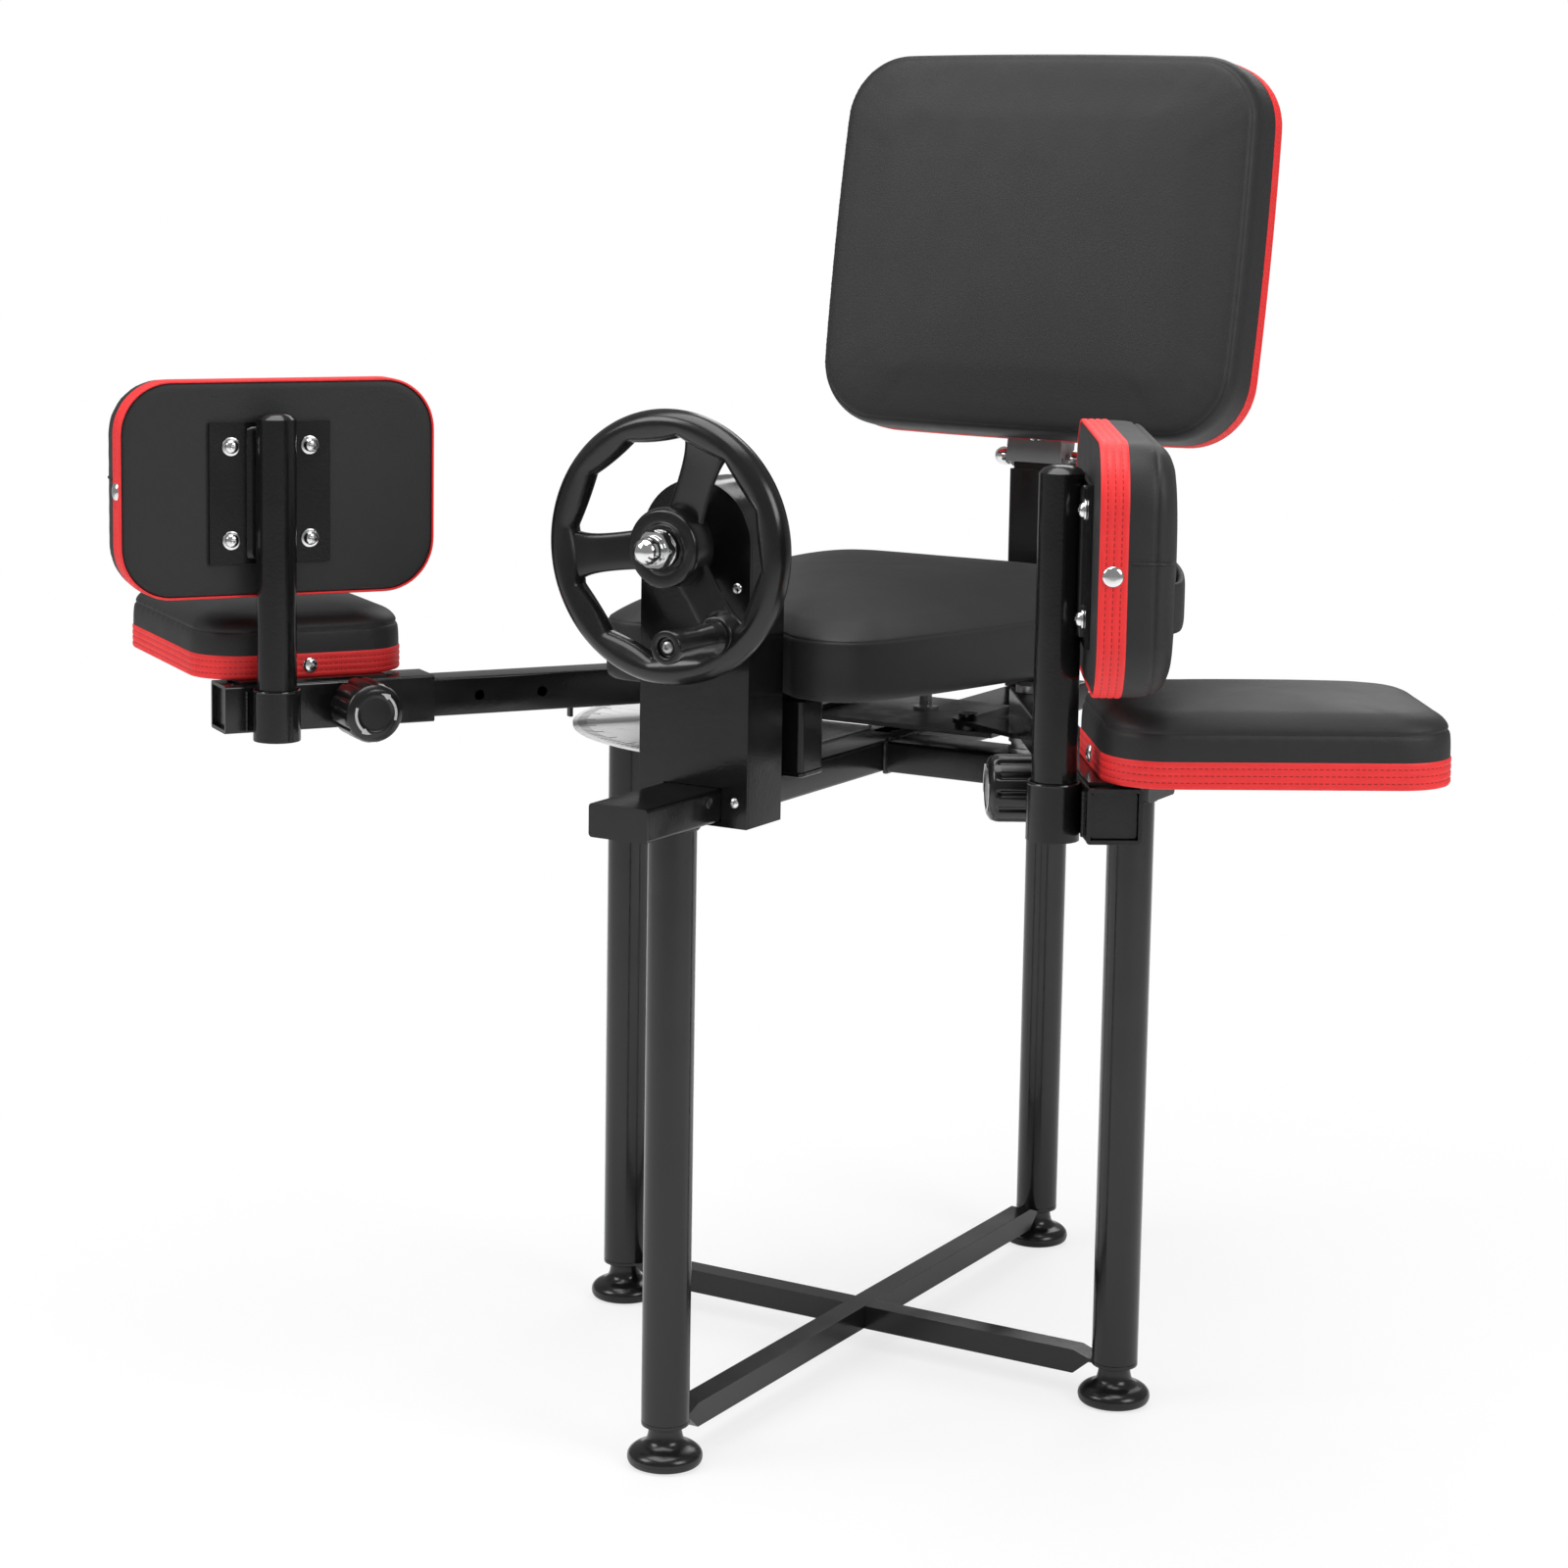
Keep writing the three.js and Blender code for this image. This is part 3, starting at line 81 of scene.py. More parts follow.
def around(count):
    """count angles evenly spaced round a full turn."""
    return np.linspace(0, TAU, count, endpoint=False)


def unit(vectors):
    """Vectors along the last axis, at length 1."""
    return vectors / np.linalg.norm(vectors, axis=-1, keepdims=True)


def power(value, exponent):
    """A power that keeps the sign: the side of a superellipse from a cosine or a sine."""
    return np.sign(value) * np.abs(value) ** exponent


def closed_up(points):
    """A closed polyline, with its first point again at its end."""
    return np.vstack([points, points[:1]])


def lengths(points):
    """The length along a polyline up to each of its points."""
    return np.concatenate([[0], np.cumsum(np.linalg.norm(np.diff(points, axis=0), axis=1))])


def picked(s, along, points):
    """What points hold at the lengths s, given the length along at each of them."""
    return np.stack([np.interp(s, along, points[:, k]) for k in range(points.shape[1])], -1)


def grid_faces(rings, count, joined):
    """Quads between neighbouring rings of count points; joined also ties the last ring to the first."""
    i = np.arange(rings if joined else rings - 1)[:, None]
    j = np.arange(count)[None, :]
    nxt = (j + 1) % count
    above = (i + 1) % rings
    corners = [i * count + j, i * count + nxt, above * count + nxt, above * count + j]
    return np.stack(corners, -1).reshape(-1, 4)


def fan_faces(ring_start, count, tip, downwards):
    """Triangles from a ring to one tip point."""
    j = np.arange(count)
    nxt = (j + 1) % count
    a, b = (nxt, j) if downwards else (j, nxt)
    return np.stack([ring_start + a, ring_start + b, np.full(count, tip)], -1)


def volume(points, faces):
    """Six times the signed volume of a closed mesh: the sum of p0 . (p1 x p2) over its triangles."""
    total = 0.0
    for f in faces:
        p = points[f]
        for k in range(1, f.shape[1] - 1):
            total += np.einsum("ij,ij->i", p[:, 0], np.cross(p[:, k], p[:, k + 1])).sum()
    return total


def coordinates(mesh):
    """A mesh's points as an array (n, 3)."""
    co = np.zeros(len(mesh.vertices) * 3)
    mesh.vertices.foreach_get("co", co)
    return co.reshape(-1, 3)


def smooth_object(name, points, faces, look, body, sharp):
    """A mesh object, shaded smooth but for edges over sharp degrees, that remembers its body."""
    mesh = bpy.data.meshes.new(name)
    mesh.from_pydata(points.tolist(), [], faces)
    mesh.polygons.foreach_set("use_smooth", np.ones(len(mesh.polygons), bool))
    if sharp:
        mesh.set_sharp_from_angle(angle=math.radians(sharp))
    mesh.materials.append(look)
    made = bpy.data.objects.new(name, mesh)
    bpy.context.scene.collection.objects.link(made)
    made["carried_by"] = body
    return made


def piece(name, points, faces, look, body, sharp=40, uv=None):
    """A closed piece from points in metres and arrays of faces, turned to face outwards."""
    if volume(points, faces) < 0:
        faces = [f[:, ::-1] for f in faces]
        uv = None if uv is None else uv[:, ::-1]
    made = smooth_object(name, points, [tuple(q) for f in faces for q in f.tolist()], look, body, sharp)
    if uv is not None:
        layer = made.data.uv_layers.new(name="UVMap")
        layer.data.foreach_set("uv", uv.reshape(-1).astype(np.float32))
    return made


def ring_piece(name, place, rings, look, body, joined=False, sharp=40, uv=None):
    """A closed piece from rings (r, c, 3) in local millimetres: joined into a hoop, or closed by end fans."""
    r, c = rings.shape[:2]
    points = place(rings.reshape(-1, 3))
    faces = [grid_faces(r, c, joined)]
    if not joined:
        points = np.vstack([points, points[:c].mean(0), points[(r - 1) * c:r * c].mean(0)])
        faces += [fan_faces(0, c, r * c, True), fan_faces((r - 1) * c, c, r * c + 1, False)]
    return piece(name, points, faces, look, body, sharp, uv)


def softened(profile, radius, steps=3):
    """A polyline whose inner corners are rounded: quadratic curves between points radius before and after."""
    p = np.array(profile, float)
    out = [p[:1]]
    t = np.linspace(0, 1, steps + 1)[:, None]
    for a, b, c in zip(p[:-2], p[1:-1], p[2:]):
        before, after = np.linalg.norm(a - b), np.linalg.norm(c - b)
        s = b + (a - b) * min(radius / before, 0.45)
        e = b + (c - b) * min(radius / after, 0.45)
        out.append((1 - t) ** 2 * s + 2 * t * (1 - t) * b + t**2 * e)
    out.append(p[-1:])
    return np.vstack(out)


def polar(r, u, z):
    """Points (r cos u, r sin u, z), of numbers or arrays that broadcast."""
    return np.stack(np.broadcast_arrays(r * np.cos(u), r * np.sin(u), z), -1)


def lathe(profile, count=64):
    """Rings of a profile of (radius, height) turned about z: (r cos u, r sin u, h)."""
    p = np.array(profile, float)
    return polar(np.maximum(p[:, :1], 0.02), around(count), p[:, 1:2])


def turned(name, place, profile, look, body, radius=0.6, count=64, sharp=40):
    """A lathe piece whose profile corners are rounded by radius."""
    return ring_piece(name, place, lathe(softened(profile, radius), count), look, body, sharp=sharp)


def swept(points, radius, count=10, closed=False, lumps=0.0, lump_length=3.0):
    """Rings of a round bead: centre + r (cos v n + sin v b), r swelling with |sin| along the path."""
    p = np.array(points, float)
    step = np.linalg.norm(np.diff(p, axis=0, append=p[:1] if closed else p[-1:]), axis=1)
    along = np.concatenate([[0], np.cumsum(step)[:-1]])
    ahead = np.roll(p, -1, 0) if closed else np.vstack([p[1:], 2 * p[-1] - p[-2]])
    behind = np.roll(p, 1, 0) if closed else np.vstack([2 * p[0] - p[1], p[:-1]])
    t = unit(ahead - behind)
    up = np.array([0, 0, 1.0]) if abs(t[:, 2]).max() < 0.9 else np.array([1.0, 0, 0])
    n = unit(np.cross(up, t))
    b = np.cross(t, n)
    v = around(count)
    r = radius * (1 + lumps * np.abs(np.sin(along * math.pi / lump_length)))
    spread = np.cos(v)[:, None] * n[:, None] + np.sin(v)[:, None] * b[:, None]
    return p[:, None] + r[:, None, None] * spread


def bead(name, place, points, radius, look, body, closed=False):
    """A weld bead: a lumpy round bead along a path."""
    return ring_piece(name, place, swept(points, radius, 8, closed, 0.25), look, body, joined=closed, sharp=0)


def merged(name, pieces):
    """Several pieces of one look as one piece."""
    first = pieces[0]
    points, faces, start = [], [], 0
    for part in pieces:
        points.append(coordinates(part.data))
        faces += [tuple(v + start for v in poly.vertices) for poly in part.data.polygons]
        start += len(part.data.vertices)
    made = smooth_object(name, np.vstack(points), faces, first.data.materials[0], first["carried_by"], 40)
    for part in pieces:
        bpy.data.objects.remove(part)
    return made


def settle(made, slot, *nodes):
    """Lets a finished piece ride on its body and puts it in place of CAD nodes; its slot argument is not used."""
    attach(made, made["carried_by"])
    del made["carried_by"]
    if nodes:
        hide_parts(*nodes)
    return made


# ---- materials

def node_in(tree, kind, **values):
    """A new shader node in a tree, with values for its inputs by name; an underscore stands for a space."""
    node = tree.nodes.new("ShaderNode" + kind)
    for key, value in values.items():
        node.inputs[key.replace("_", " ")].default_value = value
    return node


class Look:
    """A material and short ways to add its nodes. Patterns read Object coordinates, in metres."""

    def __init__(self, name):
        self.material = bpy.data.materials.new(name)
        self.material.use_nodes = True
        self.tree = self.material.node_tree
        self.shader = self.tree.nodes["Principled BSDF"]
        self.coordinates = node_in(self.tree, "TexCoord")
        self.bumps = []

    def link(self, a, b):
        self.tree.links.new(a, b)

    def noise(self, scale, detail, stretch=None):
        """A noise over Object coordinates, which a stretch multiplies first."""
        node = node_in(self.tree, "TexNoise", Scale=scale, Detail=detail)
        source = self.coordinates.outputs["Object"]
        if stretch:
            mapping = node_in(self.tree, "Mapping", Scale=stretch)
            self.link(source, mapping.inputs["Vector"])
            source = mapping.outputs["Vector"]
        self.link(source, node.inputs["Vector"])
        return node.outputs["Fac"]

    def cells(self, scale):
        node = node_in(self.tree, "TexVoronoi", Scale=scale)
        node.feature = "SMOOTH_F1"
        node.inputs["Smoothness"].default_value = 0.35
        self.link(self.coordinates.outputs["Object"], node.inputs["Vector"])
        return node.outputs["Distance"]

    def math(self, operation, *values):
        node = node_in(self.tree, "Math")
        node.operation = operation
        for k, value in enumerate(values):
            if isinstance(value, (int, float)):
                node.inputs[k].default_value = value
            else:
                self.link(value, node.inputs[k])
        return node.outputs["Value"]

    def between(self, factor, low, high):
        node = node_in(self.tree, "MapRange", From_Min=0.3, From_Max=0.7, To_Min=low, To_Max=high)
        self.link(factor, node.inputs["Value"])
        return node.outputs["Result"]

    def mixed(self, factor, first, second):
        node = node_in(self.tree, "Mix")
        node.data_type = "RGBA"
        self.link(factor, node.inputs["Factor"])
        for value, socket in ((first, node.inputs["A"]), (second, node.inputs["B"])):
            if isinstance(value, tuple):
                socket.default_value = (*value, 1)
            else:
                self.link(value, socket)
        return node.outputs["Result"]

    def bump(self, height, strength, distance):
        node = node_in(self.tree, "Bump", Strength=strength, Distance=distance)
        self.link(height, node.inputs["Height"])
        if self.bumps:
            self.link(self.bumps[-1].outputs["Normal"], node.inputs["Normal"])
        self.bumps.append(node)
        self.link(node.outputs["Normal"], self.shader.inputs["Normal"])

    def base(self, factor, dark, light):
        self.link(self.mixed(factor, dark, light), self.shader.inputs["Base Color"])

    def rough(self, factor, low, high):
        self.link(self.between(factor, low, high), self.shader.inputs["Roughness"])


def coat(name, tone, dark, light, grain, low, high, bumps=(), metallic=0.0):
    """A plain look: its colour runs from dark to light and its roughness from low to high with two noises, each
    (scale, detail); each bump is (scale, detail, stretch, strength, distance)."""
    look = Look(name)
    look.shader.inputs["Metallic"].default_value = metallic
    look.base(look.noise(*tone), dark, light)
    look.rough(look.noise(*grain), low, high)
    for scale, detail, stretch, strength, distance in bumps:
        look.bump(look.noise(scale, detail, stretch), strength, distance)
    return look.material


def vinyl():
    """Black upholstery vinyl: fine leather grain over faint level creases."""
    look = Look("black_vinyl")
    look.base(look.noise(5, 4), (0.016, 0.016, 0.0165), (0.021, 0.021, 0.0215))
    look.rough(look.noise(30, 4), 0.52, 0.57)
    look.shader.inputs["Specular IOR Level"].default_value = 0.4
    look.bump(look.noise(120, 3, (0.3, 0.3, 1)), 0.1, 0.0004)
    look.bump(look.cells(620), 0.35, 0.00025)
    look.bump(look.noise(2200, 2), 0.1, 0.0001)
    return look.material


def red_tape():
    """Red edging tape. Its UV runs in metres along the tape and 0 to 1 across it, with three sewn lines."""
    look = Look("red_tape")
    split = node_in(look.tree, "SeparateXYZ")
    look.link(look.coordinates.outputs["UV"], split.inputs["Vector"])
    along, across = split.outputs["X"], split.outputs["Y"]
    dash = look.math("LESS_THAN", look.math("FRACT", look.math("MULTIPLY", along, 1 / 0.0042)), 0.62)
    lines = None
    for place in TAPE_SEAMS:
        near = look.math("LESS_THAN", look.math("ABSOLUTE", look.math("SUBTRACT", across, place)), 0.02)
        lines = near if lines is None else look.math("MAXIMUM", lines, near)
    thread = look.math("MULTIPLY", lines, dash)
    cloth = look.mixed(look.noise(60, 4), (0.84, 0.02, 0.022), (0.95, 0.034, 0.036))
    look.link(look.mixed(thread, cloth, (0.42, 0.011, 0.013)), look.shader.inputs["Base Color"])
    look.rough(look.noise(200, 3), 0.5, 0.62)
    ribs = look.math("SINE", look.math("MULTIPLY", along, TAU / 0.0016))
    look.bump(ribs, 0.12, 0.0002)
    look.bump(look.noise(160, 3), 0.3, 0.0004)
    return look.material


def marking(name, dark, light):
    """Printed ink or thread, slightly worn."""
    return coat(name, (400, 4), dark, light, (200, 3), 0.45, 0.6)


TAPE_SEAMS = (0.24, 0.5, 0.76)
VINYL = vinyl()
RED = red_tape()
# Black powder coat: a shallow orange peel and faint handling marks.
GLOSS = coat("gloss_coat", (9, 4), (0.005, 0.005, 0.0053), (0.009, 0.009, 0.0094), (24, 5), 0.13, 0.24,
             [(420, 2, None, 0.16, 0.0004), (60, 2, None, 0.05, 0.001)])
# Moulded black plastic with a fine eroded texture.
SATIN = coat("satin_plastic", (14, 3), (0.006, 0.006, 0.0063), (0.011, 0.011, 0.0114), (40, 4), 0.19, 0.27,
             [(1500, 3, None, 0.12, 0.0002)])
# Bright plate with hair marks.
CHROME = coat("bright_chrome", (30, 3), (0.74, 0.745, 0.75), (0.82, 0.825, 0.83), (300, 4), 0.06, 0.16,
              [(900, 2, None, 0.04, 0.0001)], metallic=1)
# Turned steel with a thin oil film.
STEEL = coat("bare_steel", (40, 4), (0.36, 0.36, 0.37), (0.5, 0.5, 0.5), (90, 4), 0.26, 0.42,
             [(700, 3, (1, 1, 6), 0.1, 0.0002)], metallic=1)
# Brushed plate with fine lines along X.
SILVER = coat("silver_plate", (12, 3), (0.84, 0.845, 0.85), (0.92, 0.925, 0.93), (500, 3, (0.04, 1, 1)), 0.24,
              0.4, [(1400, 2, (0.02, 1, 1), 0.15, 0.0001)], metallic=0.1)
# Grey painted steel, matt, with small scuffs.
GREY = coat("grey_coat", (30, 5), (0.24, 0.24, 0.243), (0.32, 0.32, 0.323), (80, 5), 0.35, 0.55,
            [(500, 3, None, 0.15, 0.0003)])
INK = marking("dark_ink", (0.012, 0.012, 0.012), (0.03, 0.03, 0.03))
WHITE_INK = marking("pale_ink", (0.5, 0.5, 0.5), (0.66, 0.66, 0.66))
THREAD = marking("black_thread", (0.006, 0.006, 0.006), (0.012, 0.012, 0.012))

SLOT_LOOKS = {
    "black_coat": GLOSS,
    "black_plastic": SATIN,
    "bare_steel": STEEL,
    "bright_chrome": CHROME,
    "black_vinyl": VINYL,
    "silver_plate": SILVER,
}
for part in frame["record"]["subparts"]:
    for each in NODES[part["node"]].material_slots:
        each.material = SLOT_LOOKS[part["material_slot"]]
for node in ("crosshead_plate", "backrest_bracket"):
    NODES[node].material_slots[0].material = GREY


def smooth_shading():
    """A geometry group that joins loose triangles and shades them smooth; edges over 34 degrees stay sharp."""
    group = bpy.data.node_groups.new("smooth_shading", "GeometryNodeTree")
    group.interface.new_socket("Geometry", in_out="INPUT", socket_type="NodeSocketGeometry")
    group.interface.new_socket("Geometry", in_out="OUTPUT", socket_type="NodeSocketGeometry")
    nodes, links = group.nodes, group.links
    start, end = nodes.new("NodeGroupInput"), nodes.new("NodeGroupOutput")
    weld = nodes.new("GeometryNodeMergeByDistance")
    weld.inputs["Distance"].default_value = 2e-6
    every, edges = nodes.new("GeometryNodeSetShadeSmooth"), nodes.new("GeometryNodeSetShadeSmooth")
    edges.domain = "EDGE"
    edges.inputs["Shade Smooth"].default_value = False
    angle, over = nodes.new("GeometryNodeInputMeshEdgeAngle"), nodes.new("FunctionNodeCompare")
    over.operation = "GREATER_THAN"
    over.inputs["B"].default_value = math.radians(34)
    links.new(start.outputs[0], weld.inputs["Geometry"])
    links.new(weld.outputs["Geometry"], every.inputs["Geometry"])
    links.new(every.outputs["Geometry"], edges.inputs["Geometry"])
    links.new(angle.outputs["Unsigned Angle"], over.inputs["A"])
    links.new(over.outputs["Result"], edges.inputs["Selection"])
    links.new(edges.outputs["Geometry"], end.inputs[0])
    return group


SHADING = smooth_shading()
for node in NODES.values():
    node.modifiers.new("smooth_shading", "NODES").node_group = SHADING
BEVELLED = ("gearbox_housing", "gearbox_cover", "backrest_bracket", "crosshead_plate",
            "left_sleeve", "right_sleeve", "backrest_post", "long_brace", "left_brace", "right_brace")
for name in BEVELLED:
    edge = NODES[name].modifiers.new("edge", "BEVEL")
    edge.width = 0.7 * MM
    edge.segments = 2
    edge.limit_method = "ANGLE"
    edge.angle_limit = math.radians(40)
    edge.harden_normals = True

# ---- cushions


def even(points, count):
    """count points evenly spaced along a closed polyline."""
    closed = closed_up(points)
    along = lengths(closed)
    return picked(np.linspace(0, along[-1], count, endpoint=False), along, closed)


def rectangle(width, depth, corner, pull, count):
    """A rounded rectangle, evenly spaced; a straight side's middle lies pull (1 - t^2) further in."""
    hx, hy = width / 2, depth / 2
    quarter = np.linspace(0, math.pi / 2, 14)
    t = np.linspace(-1, 1, 14)[1:-1]
    parts = []
    for k, (sx, sy) in enumerate(((1, 1), (-1, 1), (-1, -1), (1, -1))):
        a = quarter + k * math.pi / 2
        centre = np.array([sx * (hx - corner), sy * (hy - corner)])
        parts.append(centre + corner * np.stack([np.cos(a), np.sin(a)], -1))
        turn = np.array([[np.cos(k * math.pi / 2), np.sin(k * math.pi / 2)],
                         [-np.sin(k * math.pi / 2), np.cos(k * math.pi / 2)]])
        half, reach = (hx, hy) if k % 2 == 0 else (hy, hx)
        side = np.stack([-t * (half - corner), reach - pull * (1 - t**2)], -1)
        parts.append(side @ turn)
    return even(np.roll(np.vstack(parts), 5, 0), count)


def normals_of(outline):
    """Outward normals of a closed outline that runs anticlockwise."""
    t = np.roll(outline, -1, 0) - np.roll(outline, 1, 0)
    return unit(np.stack([t[:, 1], -t[:, 0]], -1))


def between_points(a, b, c, d, t):
    """The smooth cubic from b to c, t from 0 to 1, with a before and d after."""
    return 0.5 * (2 * b + (c - a) * t + (2 * a - 5 * b + 4 * c - d) * t**2 + (3 * b - a - 3 * c + d) * t**3)


def curve_through(points, spacing):
    """A smooth curve through points, resampled to about the given spacing."""
    p = np.array(points, float)
    q = np.vstack([2 * p[0] - p[1], p, 2 * p[-1] - p[-2]])
    t = np.linspace(0, 1, 12, endpoint=False)[:, None]
    dense = between_points(q[:-3, None], q[1:-2, None], q[2:-1, None], q[3:, None], t)
    dense = np.vstack([dense.reshape(-1, p.shape[1]), p[-1:]])
    along = lengths(dense)
    return picked(np.linspace(0, along[-1], max(3, int(along[-1] / spacing) + 1)), along, dense)


class Cushion:
    """A padded board: rings of one outline that follow a side profile of (inset, height), then shrink over a
    crowned front: height + crown (1 - s^2.4) at share s of the edge ring."""

    def __init__(self, name, place, body, outline, lower, upper, crown, front_rings=12):
        """outline(inset) gives a ring; lower runs from back to seam, upper from seam to front."""
        self.name, self.place, self.body, self.outline = name, place, body, outline
        low, high = curve_through(lower, 5.0), curve_through(upper, 4.0)
        seam = low[-1]
        close = [seam + (low[-2] - seam) * 0.3, seam, seam + (high[1] - seam) * 0.35]
        profile = np.vstack([low[:-1], close, high[1:]])
        rings = [np.column_stack([outline(i), np.full(len(outline(i)), h)]) for i, h in profile]
        back = rings[0]
        shrunk = [np.column_stack([back[:, :2] * s, back[:, 2]]) for s in (0.3, 0.7, 0.96)]
        edge, top = rings[-1], profile[-1, 1]
        front = []
        for s in np.linspace(1, 0.06, front_rings + 1)[1:]:
            front.append(np.column_stack([edge[:, :2] * s, np.full(len(edge), top + crown * (1 - s**2.4))]))
        self.first = len(shrunk)
        self.seam = self.first + len(low)
        self.rings = np.array([*shrunk, *rings, *front])
        self.piece = ring_piece(name, place, self.rings, VINYL, body, sharp=0)

    def pinned(self, height):
        """Weights for the simulation: the back and the band's height stay, the seam nearly so."""
        z = self.rings[..., 2]
        weight = np.where(z <= height, 1.0, 0.0)
        weight[: self.first] = 1.0
        weight[self.seam] = 0.96
        return np.concatenate([weight.reshape(-1), [1.0, 0.0]])

    def read(self):
        """The piece's points as they are now, as rings in metres."""
        r, c = self.rings.shape[:2]
        return coordinates(self.piece.data)[: r * c].reshape(r, c, 3)

    def groove(self, depth):
        """Draws the seam's ring in by depth, creased, and puckers its neighbours a little."""
        rings = self.read()
        normal = surface_normals(rings)
        c = rings.shape[1]
        ripple = 0.5 + 0.5 * np.cos(np.arange(c) * TAU * (c // 4) / c)
        k = self.seam
        rings[k] -= normal[k] * depth * MM
        for near in (k - 1, k + 1):
            rings[near] -= normal[near] * depth * MM * 0.25 * ripple[:, None]
        self.write(rings)
        mesh = self.piece.data
        ends = np.zeros(len(mesh.edges) * 2, int)
        mesh.edges.foreach_get("vertices", ends)
        sewn = (ends.reshape(-1, 2) // c == k).all(1)
        crease = mesh.attributes.new("crease_edge", "FLOAT", "EDGE")
        crease.data.foreach_set("value", sewn.astype(np.float32))

    def write(self, rings):
        """Sets the rings' points; the two middle points of the end fans stay."""
        mesh = self.piece.data
        co = coordinates(mesh)
        co[: rings.shape[0] * rings.shape[1]] = rings.reshape(-1, 3)
        mesh.vertices.foreach_set("co", co.reshape(-1))
        mesh.update()


def surface_normals(rings):
    """Outward normals of a ring surface: its two directions' cross product, turned away from the middle."""
    across = np.roll(rings, -1, 1) - np.roll(rings, 1, 1)
    up = np.gradient(rings, axis=0)
    n = np.cross(across, up)
    n /= np.maximum(np.linalg.norm(n, axis=2, keepdims=True), 1e-12)
    k = rings.shape[0] // 3
    middle = rings[k] - rings[k].mean(0)
    if np.einsum("ij,ij->i", n[k], middle).sum() < 0:
        n = -n
    return n


def calmed(move, shape, rounds=24, kept=0.12):
    """Takes folds out of a movement: the mean of each point's four neighbours, taken again and again, plus a
    small kept share of what that smooths away."""
    r, c = shape
    field = move[: r * c].reshape(r, c, 3)
    smooth = field.copy()
    for _ in range(rounds):
        rows = np.concatenate([smooth[:1], smooth, smooth[-1:]])
        smooth = 0.25 * (rows[:-2] + rows[2:] + np.roll(smooth, 1, 1) + np.roll(smooth, -1, 1))
    still = np.linalg.norm(field, axis=2, keepdims=True) < 1e-7
    field = np.where(still, 0, smooth + kept * (field - smooth))
    out = move.copy()
    out[: r * c] = field.reshape(-1, 3)
    out[r * c + 1] = field[-1].mean(0)
    return out


CLOTH_FRAMES = 14
CLOTH = {
    "quality": 4, "mass": 0.25, "tension_stiffness": 25, "compression_stiffness": 25, "shear_stiffness": 12,
    "bending_stiffness": 1.5, "vertex_group_mass": "held", "use_pressure": True,
}


def puff(cushions, height, reach, pressure=4.0):
    """Swells the cushions' free parts by one short cloth simulation, each point by at most reach."""
    scene = bpy.context.scene
    before = {}
    for cushion in cushions:
        made = cushion.piece
        weights = cushion.pinned(height)
        group = made.vertex_groups.new(name="held")
        for value in np.unique(weights):
            if value > 0:
                group.add(np.flatnonzero(weights == value).tolist(), float(value), "REPLACE")
        cloth = made.modifiers.new("cloth", "CLOTH")
        for key, value in CLOTH.items():
            setattr(cloth.settings, key, value)
        cloth.settings.uniform_pressure_force = pressure
        cloth.settings.effector_weights.gravity = 0
        cloth.point_cache.frame_start = 1
        cloth.point_cache.frame_end = CLOTH_FRAMES
        before[made.name] = coordinates(made.data)
    for step in range(1, CLOTH_FRAMES + 1):
        scene.frame_set(step)
    graph = bpy.context.evaluated_depsgraph_get()
    for cushion in cushions:
        made = cushion.piece
        swollen = coordinates(made.evaluated_get(graph).data)
        move = calmed(swollen - before[made.name], cushion.rings.shape[:2])
        length = np.linalg.norm(move, axis=1, keepdims=True)
        move *= np.minimum(1, reach * MM / np.maximum(length, 1e-9))
        made.modifiers.remove(made.modifiers["cloth"])
        made.data.vertices.foreach_set("co", (before[made.name] + move).reshape(-1))
        made.data.update()
        made.vertex_groups.clear()
    scene.frame_set(1)


def stitches(name, cushion, ring, shift, pitch=5.2, length=3.8, width=0.6):
    """Sewn stitches along a ring of a cushion: spindle-shaped loops, one every pitch, lying on the surface."""
    rings = cushion.read()
    normal = surface_normals(rings)
    path = closed_up(rings[ring] * (1 - shift) + rings[ring - 1] * shift)
    along = lengths(path)
    number = int(along[-1] / (pitch * MM))
    s = (np.arange(number) + 0.5) * along[-1] / number
    middle = picked(s, along, path)
    out = picked(s, along, closed_up(normal[ring]))
    t = unit(picked((s + 0.001) % along[-1], along, path) - middle)
    out = unit(out - t * np.einsum("ij,ij->i", out, t)[:, None])
    side = np.cross(t, out)
    a = np.linspace(-0.9, 0.9, 4)
    v = around(5)
    r = np.sqrt(1 - a**2)
    loop = [np.broadcast_to(a[:, None] * length / 2, (4, 5)), r[:, None] * np.cos(v) * width,
            r[:, None] * np.sin(v) * width * 0.8]
    local = np.stack(loop, -1) * MM
    basis = np.stack([t, side, out], 1)
    points = middle[:, None, None] + np.einsum("abk,nkj->nabj", local, basis) + out[:, None, None] * -0.35 * MM
    quads = grid_faces(4, 5, False)
    low, high = np.arange(5)[None, ::-1], np.arange(15, 20)[None]
    starts = (np.arange(number) * 20)[:, None, None]
    faces = [(quads[None] + starts).reshape(-1, 4), (low[None] + starts).reshape(-1, 5),
             (high[None] + starts).reshape(-1, 5)]
    return piece(name, points.reshape(-1, 3), faces, THREAD, cushion.body, sharp=0)


